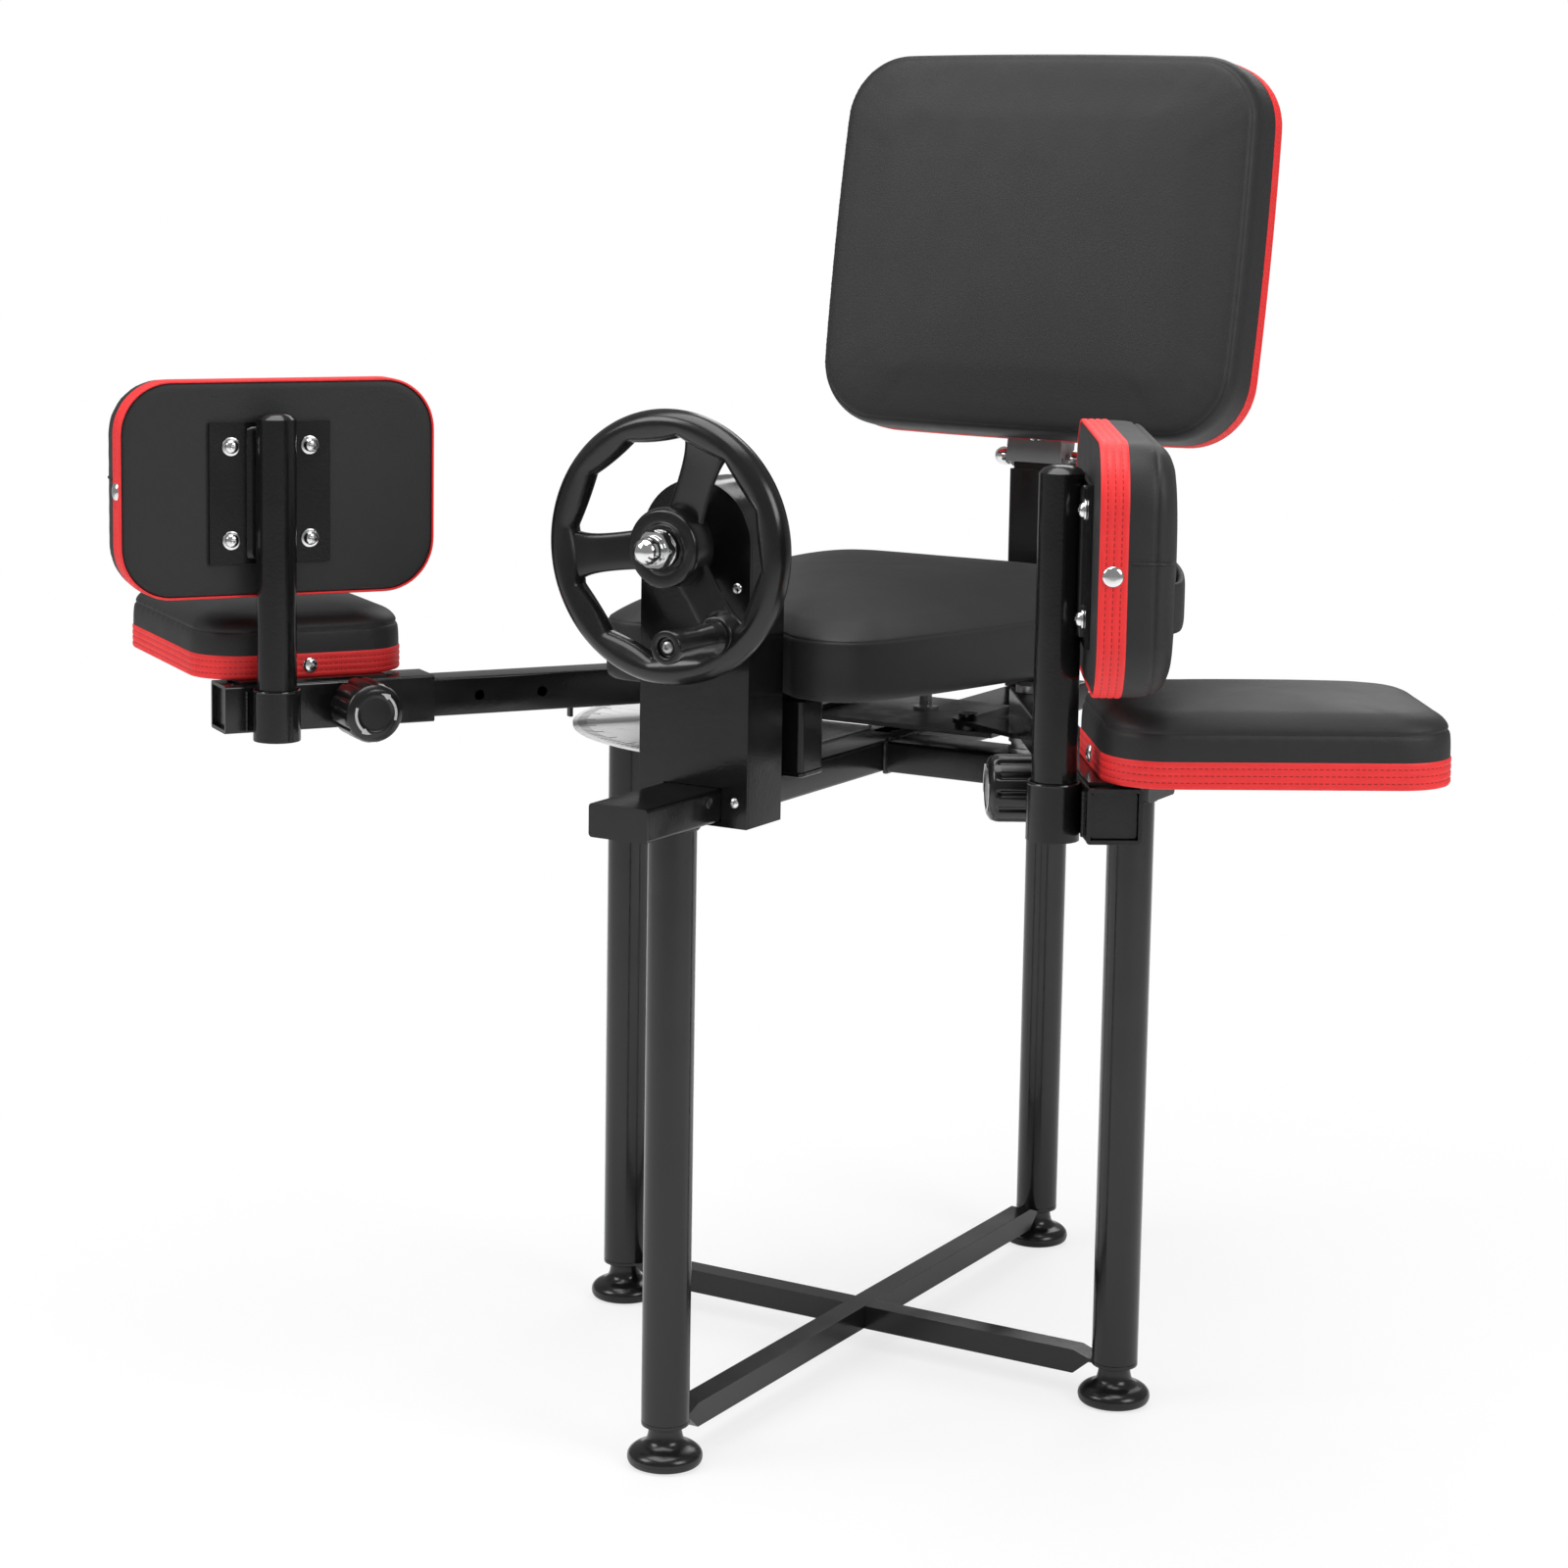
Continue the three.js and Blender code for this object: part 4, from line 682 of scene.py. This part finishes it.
def tape(name, cushion, low, high, proud=0.7):
    """The red edging round a cushion's foot: a flat band with three sewn dips, carried round the outline."""
    outline = cushion.outline(0.0)
    normal = normals_of(outline)
    across = np.linspace(0, 1, 17)
    dips = sum(np.exp(-(((across - place) / 0.035) ** 2)) for place in TAPE_SEAMS)
    ends = np.clip(np.minimum(across, 1 - across) / 0.06, 0, 1) ** 0.5
    out = proud * ends - 0.55 * dips
    up = low + (high - low) * across
    inner_up, inner_out = up[::-1][::4], np.full(5, -1.2)
    section = np.column_stack([np.concatenate([out, inner_out]), np.concatenate([up, inner_up])])
    rings = np.stack([np.column_stack([outline + normal * o, np.full(len(outline), h)]) for o, h in section])
    r, c = rings.shape[:2]
    length = lengths(closed_up(outline))[-1] * MM
    v = np.concatenate([across, across[::-1][::4], [0.0]])
    i, j = np.meshgrid(np.arange(r), np.arange(c), indexing="ij")
    corners = [(i, j), (i, j + 1), (i + 1, j + 1), (i + 1, j)]
    uv = np.stack([np.stack([b * length / c, v[a]], -1) for a, b in corners], 2).reshape(-1, 4, 2)
    return ring_piece(name, cushion.place, rings, RED, cushion.body, joined=True, sharp=50, uv=uv)


def dome(name, place, radius, height, look, body, dip=0.0):
    """A domed rivet or screw head on its flange, with a dip in the middle where it has a socket."""
    profile = [(0, -1.0), (radius, -1.0), (radius, 0.5)]
    profile += [(radius * 0.93, height * 0.45), (radius * 0.72, height * 0.8)]
    if dip:
        profile += [(radius * 0.42, height), (radius * 0.3, height)]
        profile += [(radius * 0.26, height - dip), (0, height - dip)]
    else:
        profile += [(radius * 0.4, height * 0.96), (0, height)]
    return turned(name, place, profile, look, body, radius=0.5, count=40)


# Ways to face: a piece's own x, y and z axes, given in the axes of what carries it.
FORWARDS = {"x": (1, 0, 0), "y": (0, 0, 1), "z": (0, -1, 0)}
INWARDS = {"x": (0, 1, 0), "y": (0, 0, 1), "z": (-1, 0, 0)}
OUTWARDS = {"x": (0, 1, 0), "y": (0, 0, 1), "z": (1, 0, 0)}

ARMS = (("left", -1, 0.0), ("right", 1, math.radians(4.5)))
ARM_HEIGHT = JOINTS["left_arm_swing"]["pos_m"][2] / MM
POST = (-38.0, -410.0)
PAD_HEIGHT = ARM_HEIGHT + 178
PAD_COUNT = 208
PAD_LOWER = [(1.6, 0), (0.2, 1.6), (0, 8), (0, 18), (0.2, 30), (1.2, 38)]
PAD_UPPER = [(1.2, 38), (3.2, 43), (8.5, 47.8), (17, 51)]
PAD_TAPE = 19.0
BACKREST_TAPE = 15.0
BACKREST_HEIGHT = 343


def post_place(arm, swivel):
    """The frame of one arm's post, turned by the post's swivel at rest."""
    sin, cos = math.sin(swivel), math.cos(swivel)
    return arm.at((*POST, 0), x=(cos, -sin, 0), y=(sin, cos, 0))


def arm_cushion(name, place, body, width, depth):
    """One of the four pads on the arms: a rounded rectangle whose corners tighten as it is drawn in."""
    return Cushion(
        name, place, body,
        lambda inset: rectangle(width - 2 * inset, depth - 2 * inset, max(42 - inset * 0.6, 8), 0.0, PAD_COUNT),
        PAD_LOWER, PAD_UPPER, 4.0,
    )


cushions = []
for name, side, swivel in ARMS:
    arm = arm_place(name, side)
    back = post_place(arm, swivel).at((18.9, 9, PAD_HEIGHT), **OUTWARDS)
    pad = arm_cushion(name + "_side_cushion", back, name + "_side_pad_body", 261, 173)
    under = arm.at((116, -372, ARM_HEIGHT + 22.3))
    calf = arm_cushion(name + "_calf_cushion", under, name + "_sleeve_body", 246, 177)
    cushions += [(pad, name + "_side_pad", PAD_TAPE), (calf, name + "_calf_pad", PAD_TAPE)]

TILT = math.radians(9.5)
hinge = Place(JOINTS["backrest_tilt"]["pos_m"], (1, 0, 0), (0, math.cos(TILT), -math.sin(TILT)),
              (0, math.sin(TILT), math.cos(TILT)))
backrest = Cushion(
    "backrest_pad", hinge.at((0, -6.5, 17 + BACKREST_HEIGHT / 2), **FORWARDS), "backrest",
    lambda inset: rectangle(412 - 2 * inset, BACKREST_HEIGHT - 2 * inset, max(60 - inset * 0.7, 10), -1.5, 300),
    [(1.6, 0), (0.2, 1.6), (0, 8), (0, 16), (0.2, 34), (0.9, 48), (5.0, 56.6)],
    [(5.0, 56.6), (8.4, 58.4), (14, 59.6), (24, 60.6)], 3.6, 20,
)
cushions.append((backrest, "backrest_cushion", BACKREST_TAPE))

SEAT_OUTLINE = [
    (0, -0.875), (0.17, -0.885), (0.34, -0.975), (0.5, -1), (0.63, -0.95), (0.71, -0.83), (0.79, -0.64),
    (0.87, -0.4), (0.945, -0.14), (0.985, 0.12), (1, 0.42), (0.99, 0.72), (0.93, 0.91), (0.8, 0.99),
    (0.5, 1), (0, 1),
]


def seat_ring(inset):
    """The seat's notched outline: a closed smooth curve through its mirrored shares, less an inset."""
    half = np.array(SEAT_OUTLINE, float)
    reach = np.where(half[:, 1] < 0, 245 - inset, 216 - inset)
    right = np.stack([half[:, 0] * (182 - inset), half[:, 1] * reach], -1)
    left = right[1:-1][::-1] * (-1, 1)
    p = np.vstack([right, left])
    t = np.linspace(0, 1, 10, endpoint=False)[:, None]
    dense = between_points(*(np.roll(p, shift, 0)[:, None] for shift in (1, 0, -1, -2)), t)
    return even(dense.reshape(-1, 2), 320)


seat = Cushion(
    "seat_pad", machine.at((0, 0, 603)), "stand", seat_ring,
    [(3, 0), (0.6, 2.5), (0, 10), (0.5, 24), (0.2, 38), (0.5, 48)],
    [(0.5, 48), (7, 52), (15, 56), (26, 60)], 16.5, 22,
)
puff([cushion for cushion, _, _ in cushions if cushion is not backrest], PAD_TAPE + 0.5, 3.5)
puff([backrest, seat], BACKREST_TAPE, 2.0)
cushions.append((seat, "seat_cushion", None))

for cushion, node, tape_height in cushions:
    cushion.groove(1.5)
    thread = stitches(cushion.name + "_stitches", cushion, cushion.seam - 1, 0.5)
    settle(thread, "black_vinyl")
    finer = cushion.piece.modifiers.new("finer", "SUBSURF")
    finer.levels = finer.render_levels = 1
    finer.use_limit_surface = False
    settle(cushion.piece, "black_vinyl", node)
    if tape_height:
        settle(tape(cushion.name + "_tape", cushion, -0.2, tape_height), "black_vinyl")


def flat_band(name, place, path, width, thickness, look, body):
    """A flat strap along a path in the xz plane: superellipse sections, wide in y, thin across the path."""
    p = np.array(path, float)
    t = unit(np.gradient(p, axis=0))
    n = np.stack([-t[:, 1], t[:, 0]], -1)
    v = around(28)
    a = width / 2 * power(np.cos(v), 0.35)
    b = thickness / 2 * power(np.sin(v), 0.6)
    x = p[:, :1] + n[:, :1] * b
    z = p[:, 1:] + n[:, 1:] * b
    y = np.broadcast_to(a, x.shape)
    return ring_piece(name, place, np.stack([x, y, z], -1), look, body, sharp=50)


def side_join(name, cushion):
    """The sewn join on a side pad's outer end: a thin bead along one column of the cushion's points."""
    rings = cushion.read()
    local = cushion.rings[cushion.first]
    column = np.argmin(np.abs(local[:, 0] + 130.5) * 4 + np.abs(local[:, 1] - 9))
    heights = cushion.rings[:, column, 2]
    number = np.arange(len(heights))
    keep = (heights > 20) & (number < cushion.seam + 6) & (number >= cushion.first)
    path = rings[keep, column] / MM
    return bead(name, Place((0, 0, 0)), path, 0.9, THREAD, cushion.body)


rivet_place = backrest.place.at((0, -BACKREST_HEIGHT / 2 - 1.4, 8), **FORWARDS)
settle(dome("backrest_rivet", rivet_place, 6.6, 3.0, CHROME, "backrest"), "bright_chrome")
strap_half = [(0, 63.4), (45, 61.8), (88, 57), (104, 51), (112, 46)]
strap_path = curve_through([(-x, z) for x, z in strap_half[:0:-1]] + strap_half, 4.0)
for cushion, node, _ in cushions:
    if node.endswith("side_pad"):
        place = cushion.place.at((0, -24, 0))
        strap = flat_band(cushion.name + "_strap", place, strap_path, 34, 6.0, VINYL, cushion.body)
        settle(strap, "black_vinyl")
        settle(side_join(cushion.name + "_join", cushion), "black_vinyl")

# ---- hand wheel

WHEEL_HEIGHT = 724
WHEEL_TURN = math.radians(8)
wheel = machine.at((0, -324, WHEEL_HEIGHT), **FORWARDS)
CRANK = (79 * math.cos(math.radians(-53)), 79 * math.sin(math.radians(-53)))


def wheel_rim():
    """A hoop whose inner side has twelve finger grips: the section's inner half grows by the gap between a
    circle and a twelve-sided polygon inside it."""
    u = around(240)[None, :] + WHEEL_TURN
    v = around(36)[:, None]
    middle, flat = 94, 79.6
    inner = flat / np.cos((u - WHEEL_TURN + math.pi / 12) % (math.pi / 6) - math.pi / 12)
    inner = 80.2 + (inner - flat) * 1.5
    half = np.where(np.cos(v) > 0, 11.0, middle - inner)
    r = middle + half * np.cos(v)
    return polar(r, u, 12 * np.sin(v))


def wheel_spoke(angle):
    """A flat spoke lofted outwards: superellipse sections that widen into the rim and the hub."""
    s = np.linspace(0, 1, 22)[:, None]
    v = around(28)[None, :]
    r = 20 + 66 * s
    half = 14.5 + 5.5 * s**6 + 2.5 * (1 - s) ** 6
    thick = 5.4 + 3.0 * s**8
    x = r + 0 * v
    y = half * power(np.cos(v), 0.55)
    z = thick * power(np.sin(v), 0.55) - 1.5 - 7.8 * (1 - s) ** 1.3
    c, n = math.cos(angle), math.sin(angle)
    return np.stack([x * c - y * n, x * n + y * c, z], -1)


HUB = [(8.6, -15), (31, -15), (31, 7), (29, 11), (20, 11), (18.5, 9.6), (8.6, 9.6)]
BOSS = [(0, -9), (12, -9), (19.5, 1), (16.5, 9), (15.2, 12), (0, 12)]
hub = turned("wheel_hub", wheel, HUB, SATIN, "wheel", radius=1.6, count=96)
rim = ring_piece("wheel_rim", wheel, wheel_rim(), SATIN, "wheel", joined=True, sharp=0)
spokes = []
for degrees in (60, 180, 300):
    rings = wheel_spoke(math.radians(degrees) + WHEEL_TURN)
    spokes.append(ring_piece("spoke", wheel, rings, SATIN, "wheel", sharp=0))
boss = turned("crank_boss", wheel.at((*CRANK, 0)), BOSS, SATIN, "wheel", radius=1.5, count=48)
settle(merged("hand_wheel_body", [hub, rim, *spokes, boss]), "black_plastic", "hand_wheel")

GRIP = [(4.5, 0), (14, 0), (14.2, 4), (12.2, 11), (11.2, 30), (11.8, 52), (12.8, 62), (12.8, 67), (7.6, 67),
        (7.6, 62.2), (4.5, 62.2)]
grip = turned("crank_handle", wheel.at((*CRANK, 12.4)), GRIP, SATIN, "crank", radius=1.4)
settle(grip, "black_plastic", "crank_grip")
crank = [
    turned("stem", wheel.at((*CRANK, 0)), [(0, -4), (4, -4), (4, 73.6), (0, 73.6)], STEEL, "wheel"),
    dome("socket", wheel.at((*CRANK, 75.0)), 5.6, 3.2, STEEL, "wheel", dip=2.2),
]
settle(merged("crank_bolt", crank), "bare_steel", "crank_screw")


def hexagon(radius, low, high, count=72):
    """A hexagon nut: r = radius cos 30 / cos(u mod 60 - 30), with its rims chamfered round."""
    u = around(count)
    flat = radius * math.cos(math.pi / 6) / np.cos(u % (math.pi / 3) - math.pi / 6)
    rim = np.minimum(flat, radius * 0.93)
    levels = [(rim * 0.6, low), (rim, low), (flat, low + 1.4)]
    levels += [(flat, high - 1.4), (rim, high), (rim * 0.6, high)]
    return np.stack([polar(r, u, h) for r, h in levels])


WASHER = [(8.4, 0), (14.6, 0), (14.6, 2.2), (8.4, 2.2)]
WHEEL_ACORN = [(0, 11.2), (11.4, 11.2), (11.4, 15), (10.4, 15.6), (10.4, 20), (9.4, 24.4), (6.5, 27.6),
               (2.5, 29), (0, 29.2)]
front = wheel.at((0, 0, 11.3))
washer = turned("washer", front, WASHER, CHROME, "wheel", radius=0.4)
nut = ring_piece("nut", front, hexagon(15.6, 2.4, 11.5), CHROME, "wheel", sharp=28)
acorn = turned("acorn", front, WHEEL_ACORN, CHROME, "wheel", radius=1.2)
settle(merged("wheel_fixing", [washer, nut, acorn]), "bright_chrome", "wheel_nut")

# ---- arms: knobs, brackets, rivets


def knob_rings():
    """A ribbed knob along z: r = 24.5 - 2.3 g(u) f(z), g narrow at twelve grooves, f fading at the face."""
    profile = [(10.5, 14), (10.5, 0), (21.5, 0), (24.5, 3), (24.5, 36), (23, 40.5), (19.5, 43), (15, 43.6),
               (13.5, 43), (0, 43.2)]
    levels = softened(profile, 1.2)
    u = around(192)
    groove = np.clip(np.cos(u * 12) * 1.6 - 0.35, 0, 1) ** 0.8
    share = (np.clip((levels[:, 0] - 19) / 3, 0, 1) * np.clip((38.5 - levels[:, 1]) / 3, 0, 1))[:, None]
    r = np.maximum(levels[:, :1] - 2.3 * groove[None] * share, 0.02)
    return polar(r, u, levels[:, 1:])


def arc_arrow(name, place, radius, start, end, body):
    """A flat arc with an arrow head: a strip of half-width w about a circle, w swelling, then tapering."""
    u = np.radians(np.linspace(start, end, 40))
    s = np.linspace(0, 1, 40)
    w = np.where(s < 0.72, 1.0, np.clip((1 - s) / 0.28, 0.02, 1) * 2.7)
    low = np.stack([polar(r, u, 0.0) for r in (radius - w, radius + w)])
    high = low + (0, 0, 0.5)
    rings = np.stack([low[0], low[1], high[1], high[0]], 1)
    return ring_piece(name, place, rings, WHITE_INK, body, sharp=30)


COLLAR = [(9.2, 0), (13, 0), (13, 2.2), (11.4, 2.8), (11.4, 4.5), (9.2, 4.5)]
PLATE_WASHER = [(0, -0.8), (7.5, -0.8), (7.5, 0.9), (5, 1.1), (0, 1.1)]
RIDGE = [(0, -0.6), (0, 1.4), (1.2, 2.8), (3.2, 3.4)]
PIN_AT = -340
PLATE_HEIGHT = PAD_HEIGHT - 3

for name, side, swivel in ARMS:
    knob_body, sleeve_body, pad_body = name + "_knob_body", name + "_sleeve_body", name + "_side_pad_body"
    arm = arm_place(name, side)
    knob = arm.at((-33.5, PIN_AT, ARM_HEIGHT), **INWARDS)
    made = ring_piece(name + "_knob_body", knob, knob_rings(), SATIN, knob_body, sharp=50)
    settle(made, "black_plastic", name + "_knob")
    for k, start in enumerate((-20, 160)):
        arrow = arc_arrow(f"{name}_knob_arrow_{k}", knob.at((0, 0, 43.4)), 16.8, start, start + 95, knob_body)
        settle(arrow, "silver_plate")
    place = arm.at((-19.4, PIN_AT, ARM_HEIGHT), **INWARDS)
    settle(turned(name + "_knob_collar", place, COLLAR, CHROME, sleeve_body, radius=0.4), "bright_chrome")

    post = post_place(arm, swivel)
    screws = []
    for y in (-32.5, 32.5):
        for z in (-37.5, 37.5):
            spot = post.at((14.6, y, PLATE_HEIGHT + z), **INWARDS)
            screws.append(turned("plate", spot, PLATE_WASHER, CHROME, pad_body, radius=0.4, count=40))
            screws.append(dome("head", spot.at((0, 0, 1.4)), 5.6, 3.4, CHROME, pad_body, dip=2.0))
    settle(merged(name + "_pad_screws", screws), "bright_chrome")
    place = post.at((28, -121.6, PAD_HEIGHT), x=(1, 0, 0), y=(0, 0, -1), z=(0, -1, 0))
    settle(dome(name + "_side_rivet", place, 7.3, 3.2, CHROME, pad_body), "bright_chrome")
    place = arm.at((-7.2, -372, ARM_HEIGHT + 31.5), **INWARDS)
    settle(dome(name + "_calf_rivet", place, 6.6, 3.0, CHROME, sleeve_body), "bright_chrome")

    hat = rectangle(40, 106, 3, 0, 64)
    rings = np.array([np.column_stack([hat * (1 - i / 20, 1 - i / 53), np.full(64, h)]) for i, h in RIDGE])
    place = post.at((15.4, 0, PLATE_HEIGHT), **INWARDS)
    settle(ring_piece(name + "_plate_ridge", place, rings, GLOSS, pad_body), "black_coat")

# ---- feet, gearbox screws, backrest nuts

LEGS = (("front", 0, -314), ("rear", 0, 345), ("left", -241, 0), ("right", 241, 0))
FOOT = [(0, 0), (24, 0), (28.4, 1.4), (30, 5.5), (29.2, 10), (25.5, 13.6), (18.5, 16.2), (14.6, 20), (13.2, 26),
        (13, 32), (5, 32), (5, 52), (0, 52)]
PLUG = [(0, -0.6), (4.6, -0.6), (4.6, 0.5), (3.6, 1.0), (3.2, 0.5), (0, 0.4)]
TUBE_SIDE = 26.2

for name, x, y in LEGS:
    spot = machine.at((x, y, 0))
    foot = turned(name + "_foot_body", spot, FOOT, SATIN, "stand", radius=2.2, count=72, sharp=50)
    settle(foot, "black_plastic", name + "_foot")

cover_screws = []
for x, z in ((38, 692), (-38, 692), (38, 526), (-38, 526)):
    spot = machine.at((x, -286.2, z), **FORWARDS)
    cover_screws.append(dome("cover_screw", spot, 4.2, 2.6, CHROME, "stand", dip=1.4))
settle(merged("cover_screws", cover_screws), "bright_chrome")
plugs = []
for way in (INWARDS, OUTWARDS):
    spot = machine.at((way["z"][0] * TUBE_SIDE, -304, 528), **way)
    plugs.append(turned("plug", spot, PLUG, SATIN, "stand", radius=0.3, count=40))
settle(merged("tube_plugs", plugs), "black_plastic")


def beam(place, width, depth, corner, low, high):
    """A bar of the seat's frame along z: a rounded rectangle whose two ends are chamfered."""
    chamfer = 0.8
    ring = rectangle(width, depth, corner, 0, 64)
    small = rectangle(width - 2 * chamfer, depth - 2 * chamfer, max(corner - chamfer, 0.2), 0, 64)
    levels = ((small, low), (ring, low + chamfer), (ring, high - chamfer), (small, high))
    rings = np.array([np.column_stack([q, np.full(64, h)]) for q, h in levels])
    return ring_piece("beam", place, rings, GLOSS, "stand")


# The seat's frame: two front posts on a foot plate, two cross bars and two flat bars under the board.
# Each row: the middle's x and y, width, depth, corner, bottom and top.
SEAT_BEAMS = (
    (-41, -198.5, 30, 35, 3, 540, 597), (41, -198.5, 30, 35, 3, 540, 597),
    (0, -198.5, 112, 35, 1, 536.4, 540.4), (0, -198.5, 108, 33, 3, 575, 597.6),
    (0, 284, 108, 31, 3, 575, 597.6),
    (-36, 42, 40, 512, 1, 597.4, 602.7), (36, 42, 40, 512, 1, 597.4, 602.7),
)
frame_parts = [beam(machine.at((x, y, 0)), *sizes) for x, y, *sizes in SEAT_BEAMS]
settle(merged("seat_carrier", frame_parts), "black_coat", "seat_frame")

ACORN = [(5.4, 31), (8, 31), (8.6, 32.5), (8.6, 36), (7.6, 41), (5.2, 44.6), (0, 46)]
bolt_profile = [(r, -h) for r, h in ACORN[::-1]] + [(5.0, -20), (5.0, 20)] + ACORN
bolt_place = Place(JOINTS["backrest_tilt"]["pos_m"], (0, 1, 0), (0, 0, 1), (1, 0, 0))
bolt = turned("hinge_bolt", bolt_place, bolt_profile, CHROME, "backrest", radius=0.8, count=48)
settle(bolt, "bright_chrome", "backrest_bolt")

# ---- scale ticks, welds

SCALE_MIDDLE = -72
SCALE_EDGE = -16
TICK_RADIUS = 186
scale = machine.at((SCALE_MIDDLE, -3, 538.4))
ticks = []
for k in range(55):
    angle = math.radians(176 + 2 * k)
    length, half = (15, 0.55) if k % 5 == 2 else (8, 0.35)
    c, n = math.cos(angle), math.sin(angle)
    if SCALE_MIDDLE + TICK_RADIUS * c < SCALE_EDGE:
        spot = scale.at((TICK_RADIUS * c, TICK_RADIUS * n, 0), x=(-c, -n, 0), y=(n, -c, 0))
        ring = np.array([(0, -half), (length, -half), (length, half), (0, half)], float)
        rings = np.array([np.column_stack([ring, np.full(4, h)]) for h in (0.0, 0.15)])
        ticks.append(ring_piece("tick", spot, rings, INK, "stand"))
settle(merged("scale_ticks", ticks), "silver_plate")


def round_path(radius, count):
    """Points on a circle about z."""
    return polar(radius, around(count), 0.0)


LEG_TOP = 508.6
welds = []
for _, x, y in LEGS:
    spot = machine.at((x, y, LEG_TOP))
    welds.append(bead("weld", spot, round_path(19.4, 60), 2.0, GLOSS, "stand", closed=True))
for side in (-1, 1):
    loop = rectangle(52, 26, 1.5, 0, 60)
    path = np.column_stack([np.full(60, side * 27.4), loop])
    welds.append(bead("weld", machine.at((0, 0, 523)), path, 1.8, GLOSS, "stand", closed=True))
settle(merged("stand_welds", welds), "black_coat")
for name, side, _ in ARMS:
    arm, body = arm_place(name, side), name + "_sleeve_body"
    socket_top = arm.at((*POST, ARM_HEIGHT + 17.4))
    runs = [bead("weld", socket_top, round_path(18.2, 56), 1.0, GLOSS, body, closed=True)]
    for y in (-19.2, 19.2):
        line = np.column_stack([np.full(30, 18.6), np.full(30, y), np.linspace(-17.5, 15, 30)])
        runs.append(bead("weld", arm.at((*POST, ARM_HEIGHT)), line, 1.6, GLOSS, body))
    settle(merged(name + "_sleeve_welds", runs), "black_coat")

# ---- stage, light and camera


def stage():
    """A pale round floor that fades to white for the camera, and a white surround."""
    reach, depth, count = 9000, -0.3, 96
    points = np.vstack([polar(reach, around(count), depth), [[0, 0, depth]]]) * MM
    mesh = bpy.data.meshes.new("floor")
    mesh.from_pydata(points.tolist(), [], [tuple(f) for f in fan_faces(0, count, count, False).tolist()])
    floor = bpy.data.objects.new("floor", mesh)
    bpy.context.scene.collection.objects.link(floor)
    look = Look("floor_paper")
    look.shader.inputs["Base Color"].default_value = (0.93, 0.93, 0.93, 1)
    look.shader.inputs["Roughness"].default_value = 0.9
    look.shader.inputs["Specular IOR Level"].default_value = 0.1
    tree = look.tree
    shine = node_in(tree, "Emission")
    path = node_in(tree, "LightPath")
    mix = node_in(tree, "MixShader")
    away = node_in(tree, "VectorMath")
    away.operation = "LENGTH"
    look.link(look.coordinates.outputs["Object"], away.inputs[0])
    fade = node_in(tree, "MapRange", From_Min=0.45, From_Max=1.1, To_Min=0.74)
    look.link(away.outputs["Value"], fade.inputs["Value"])
    look.link(look.math("MULTIPLY", fade.outputs["Result"], path.outputs["Is Camera Ray"]), mix.inputs["Fac"])
    look.link(look.shader.outputs["BSDF"], mix.inputs[1])
    look.link(shine.outputs["Emission"], mix.inputs[2])
    look.link(mix.outputs["Shader"], tree.nodes["Material Output"].inputs["Surface"])
    mesh.materials.append(look.material)

    world = bpy.data.worlds.new("surround")
    bpy.context.scene.world = world
    world.use_nodes = True
    tree = world.node_tree
    links = tree.links
    background = tree.nodes["Background"]
    path = node_in(tree, "LightPath")
    seen = node_in(tree, "Math")
    seen.operation = "MAXIMUM"
    level = node_in(tree, "MapRange", To_Min=0.27, To_Max=1.0)
    links.new(path.outputs["Is Camera Ray"], seen.inputs[0])
    links.new(path.outputs["Is Transmission Ray"], seen.inputs[1])
    links.new(seen.outputs[0], level.inputs["Value"])
    background.inputs["Color"].default_value = (1, 1, 1, 1)
    links.new(level.outputs["Result"], background.inputs["Strength"])


# Name, place, height looked at and side in metres, and watts.
LAMPS = (
    ("key_lamp", (-2.2, -2.6, 2.9), 0.6, 1.6, 50),
    ("side_lamp", (3.0, -0.6, 2.2), 0.7, 1.6, 44),
    ("back_lamp", (-0.6, 2.8, 2.6), 0.8, 1.8, 28),
    ("top_lamp", (-0.2, -0.5, 3.3), 0.6, 2.4, 72),
)
PHOTO_SIDE = 1600
FOCAL_PIXELS = 3480.86
SENSOR = 36

stage()
for name, place, aim_height, size, watts in LAMPS:
    data = bpy.data.lights.new(name, "AREA")
    data.size = size
    data.energy = watts
    made = bpy.data.objects.new(name, data)
    made.location = place
    direction = Vector(np.array((0, 0, aim_height)) - np.array(place))
    made.rotation_euler = direction.to_track_quat("-Z", "Y").to_euler()
    bpy.context.scene.collection.objects.link(made)

view = bpy.data.cameras.new("camera")
view.sensor_width = SENSOR
view.lens = FOCAL_PIXELS / PHOTO_SIDE * SENSOR
view.shift_y = -0.12
camera = bpy.data.objects.new("camera", view)
camera.location = machine((1362.22, -2491.11, 1023.44))
camera.rotation_euler = [math.radians(a) for a in (82.5443, -0.9453, 30.3212)]
bpy.context.scene.collection.objects.link(camera)
bpy.context.scene.camera = camera
bpy.context.scene.view_settings.view_transform = "Standard"

bpy.context.view_layer.update()
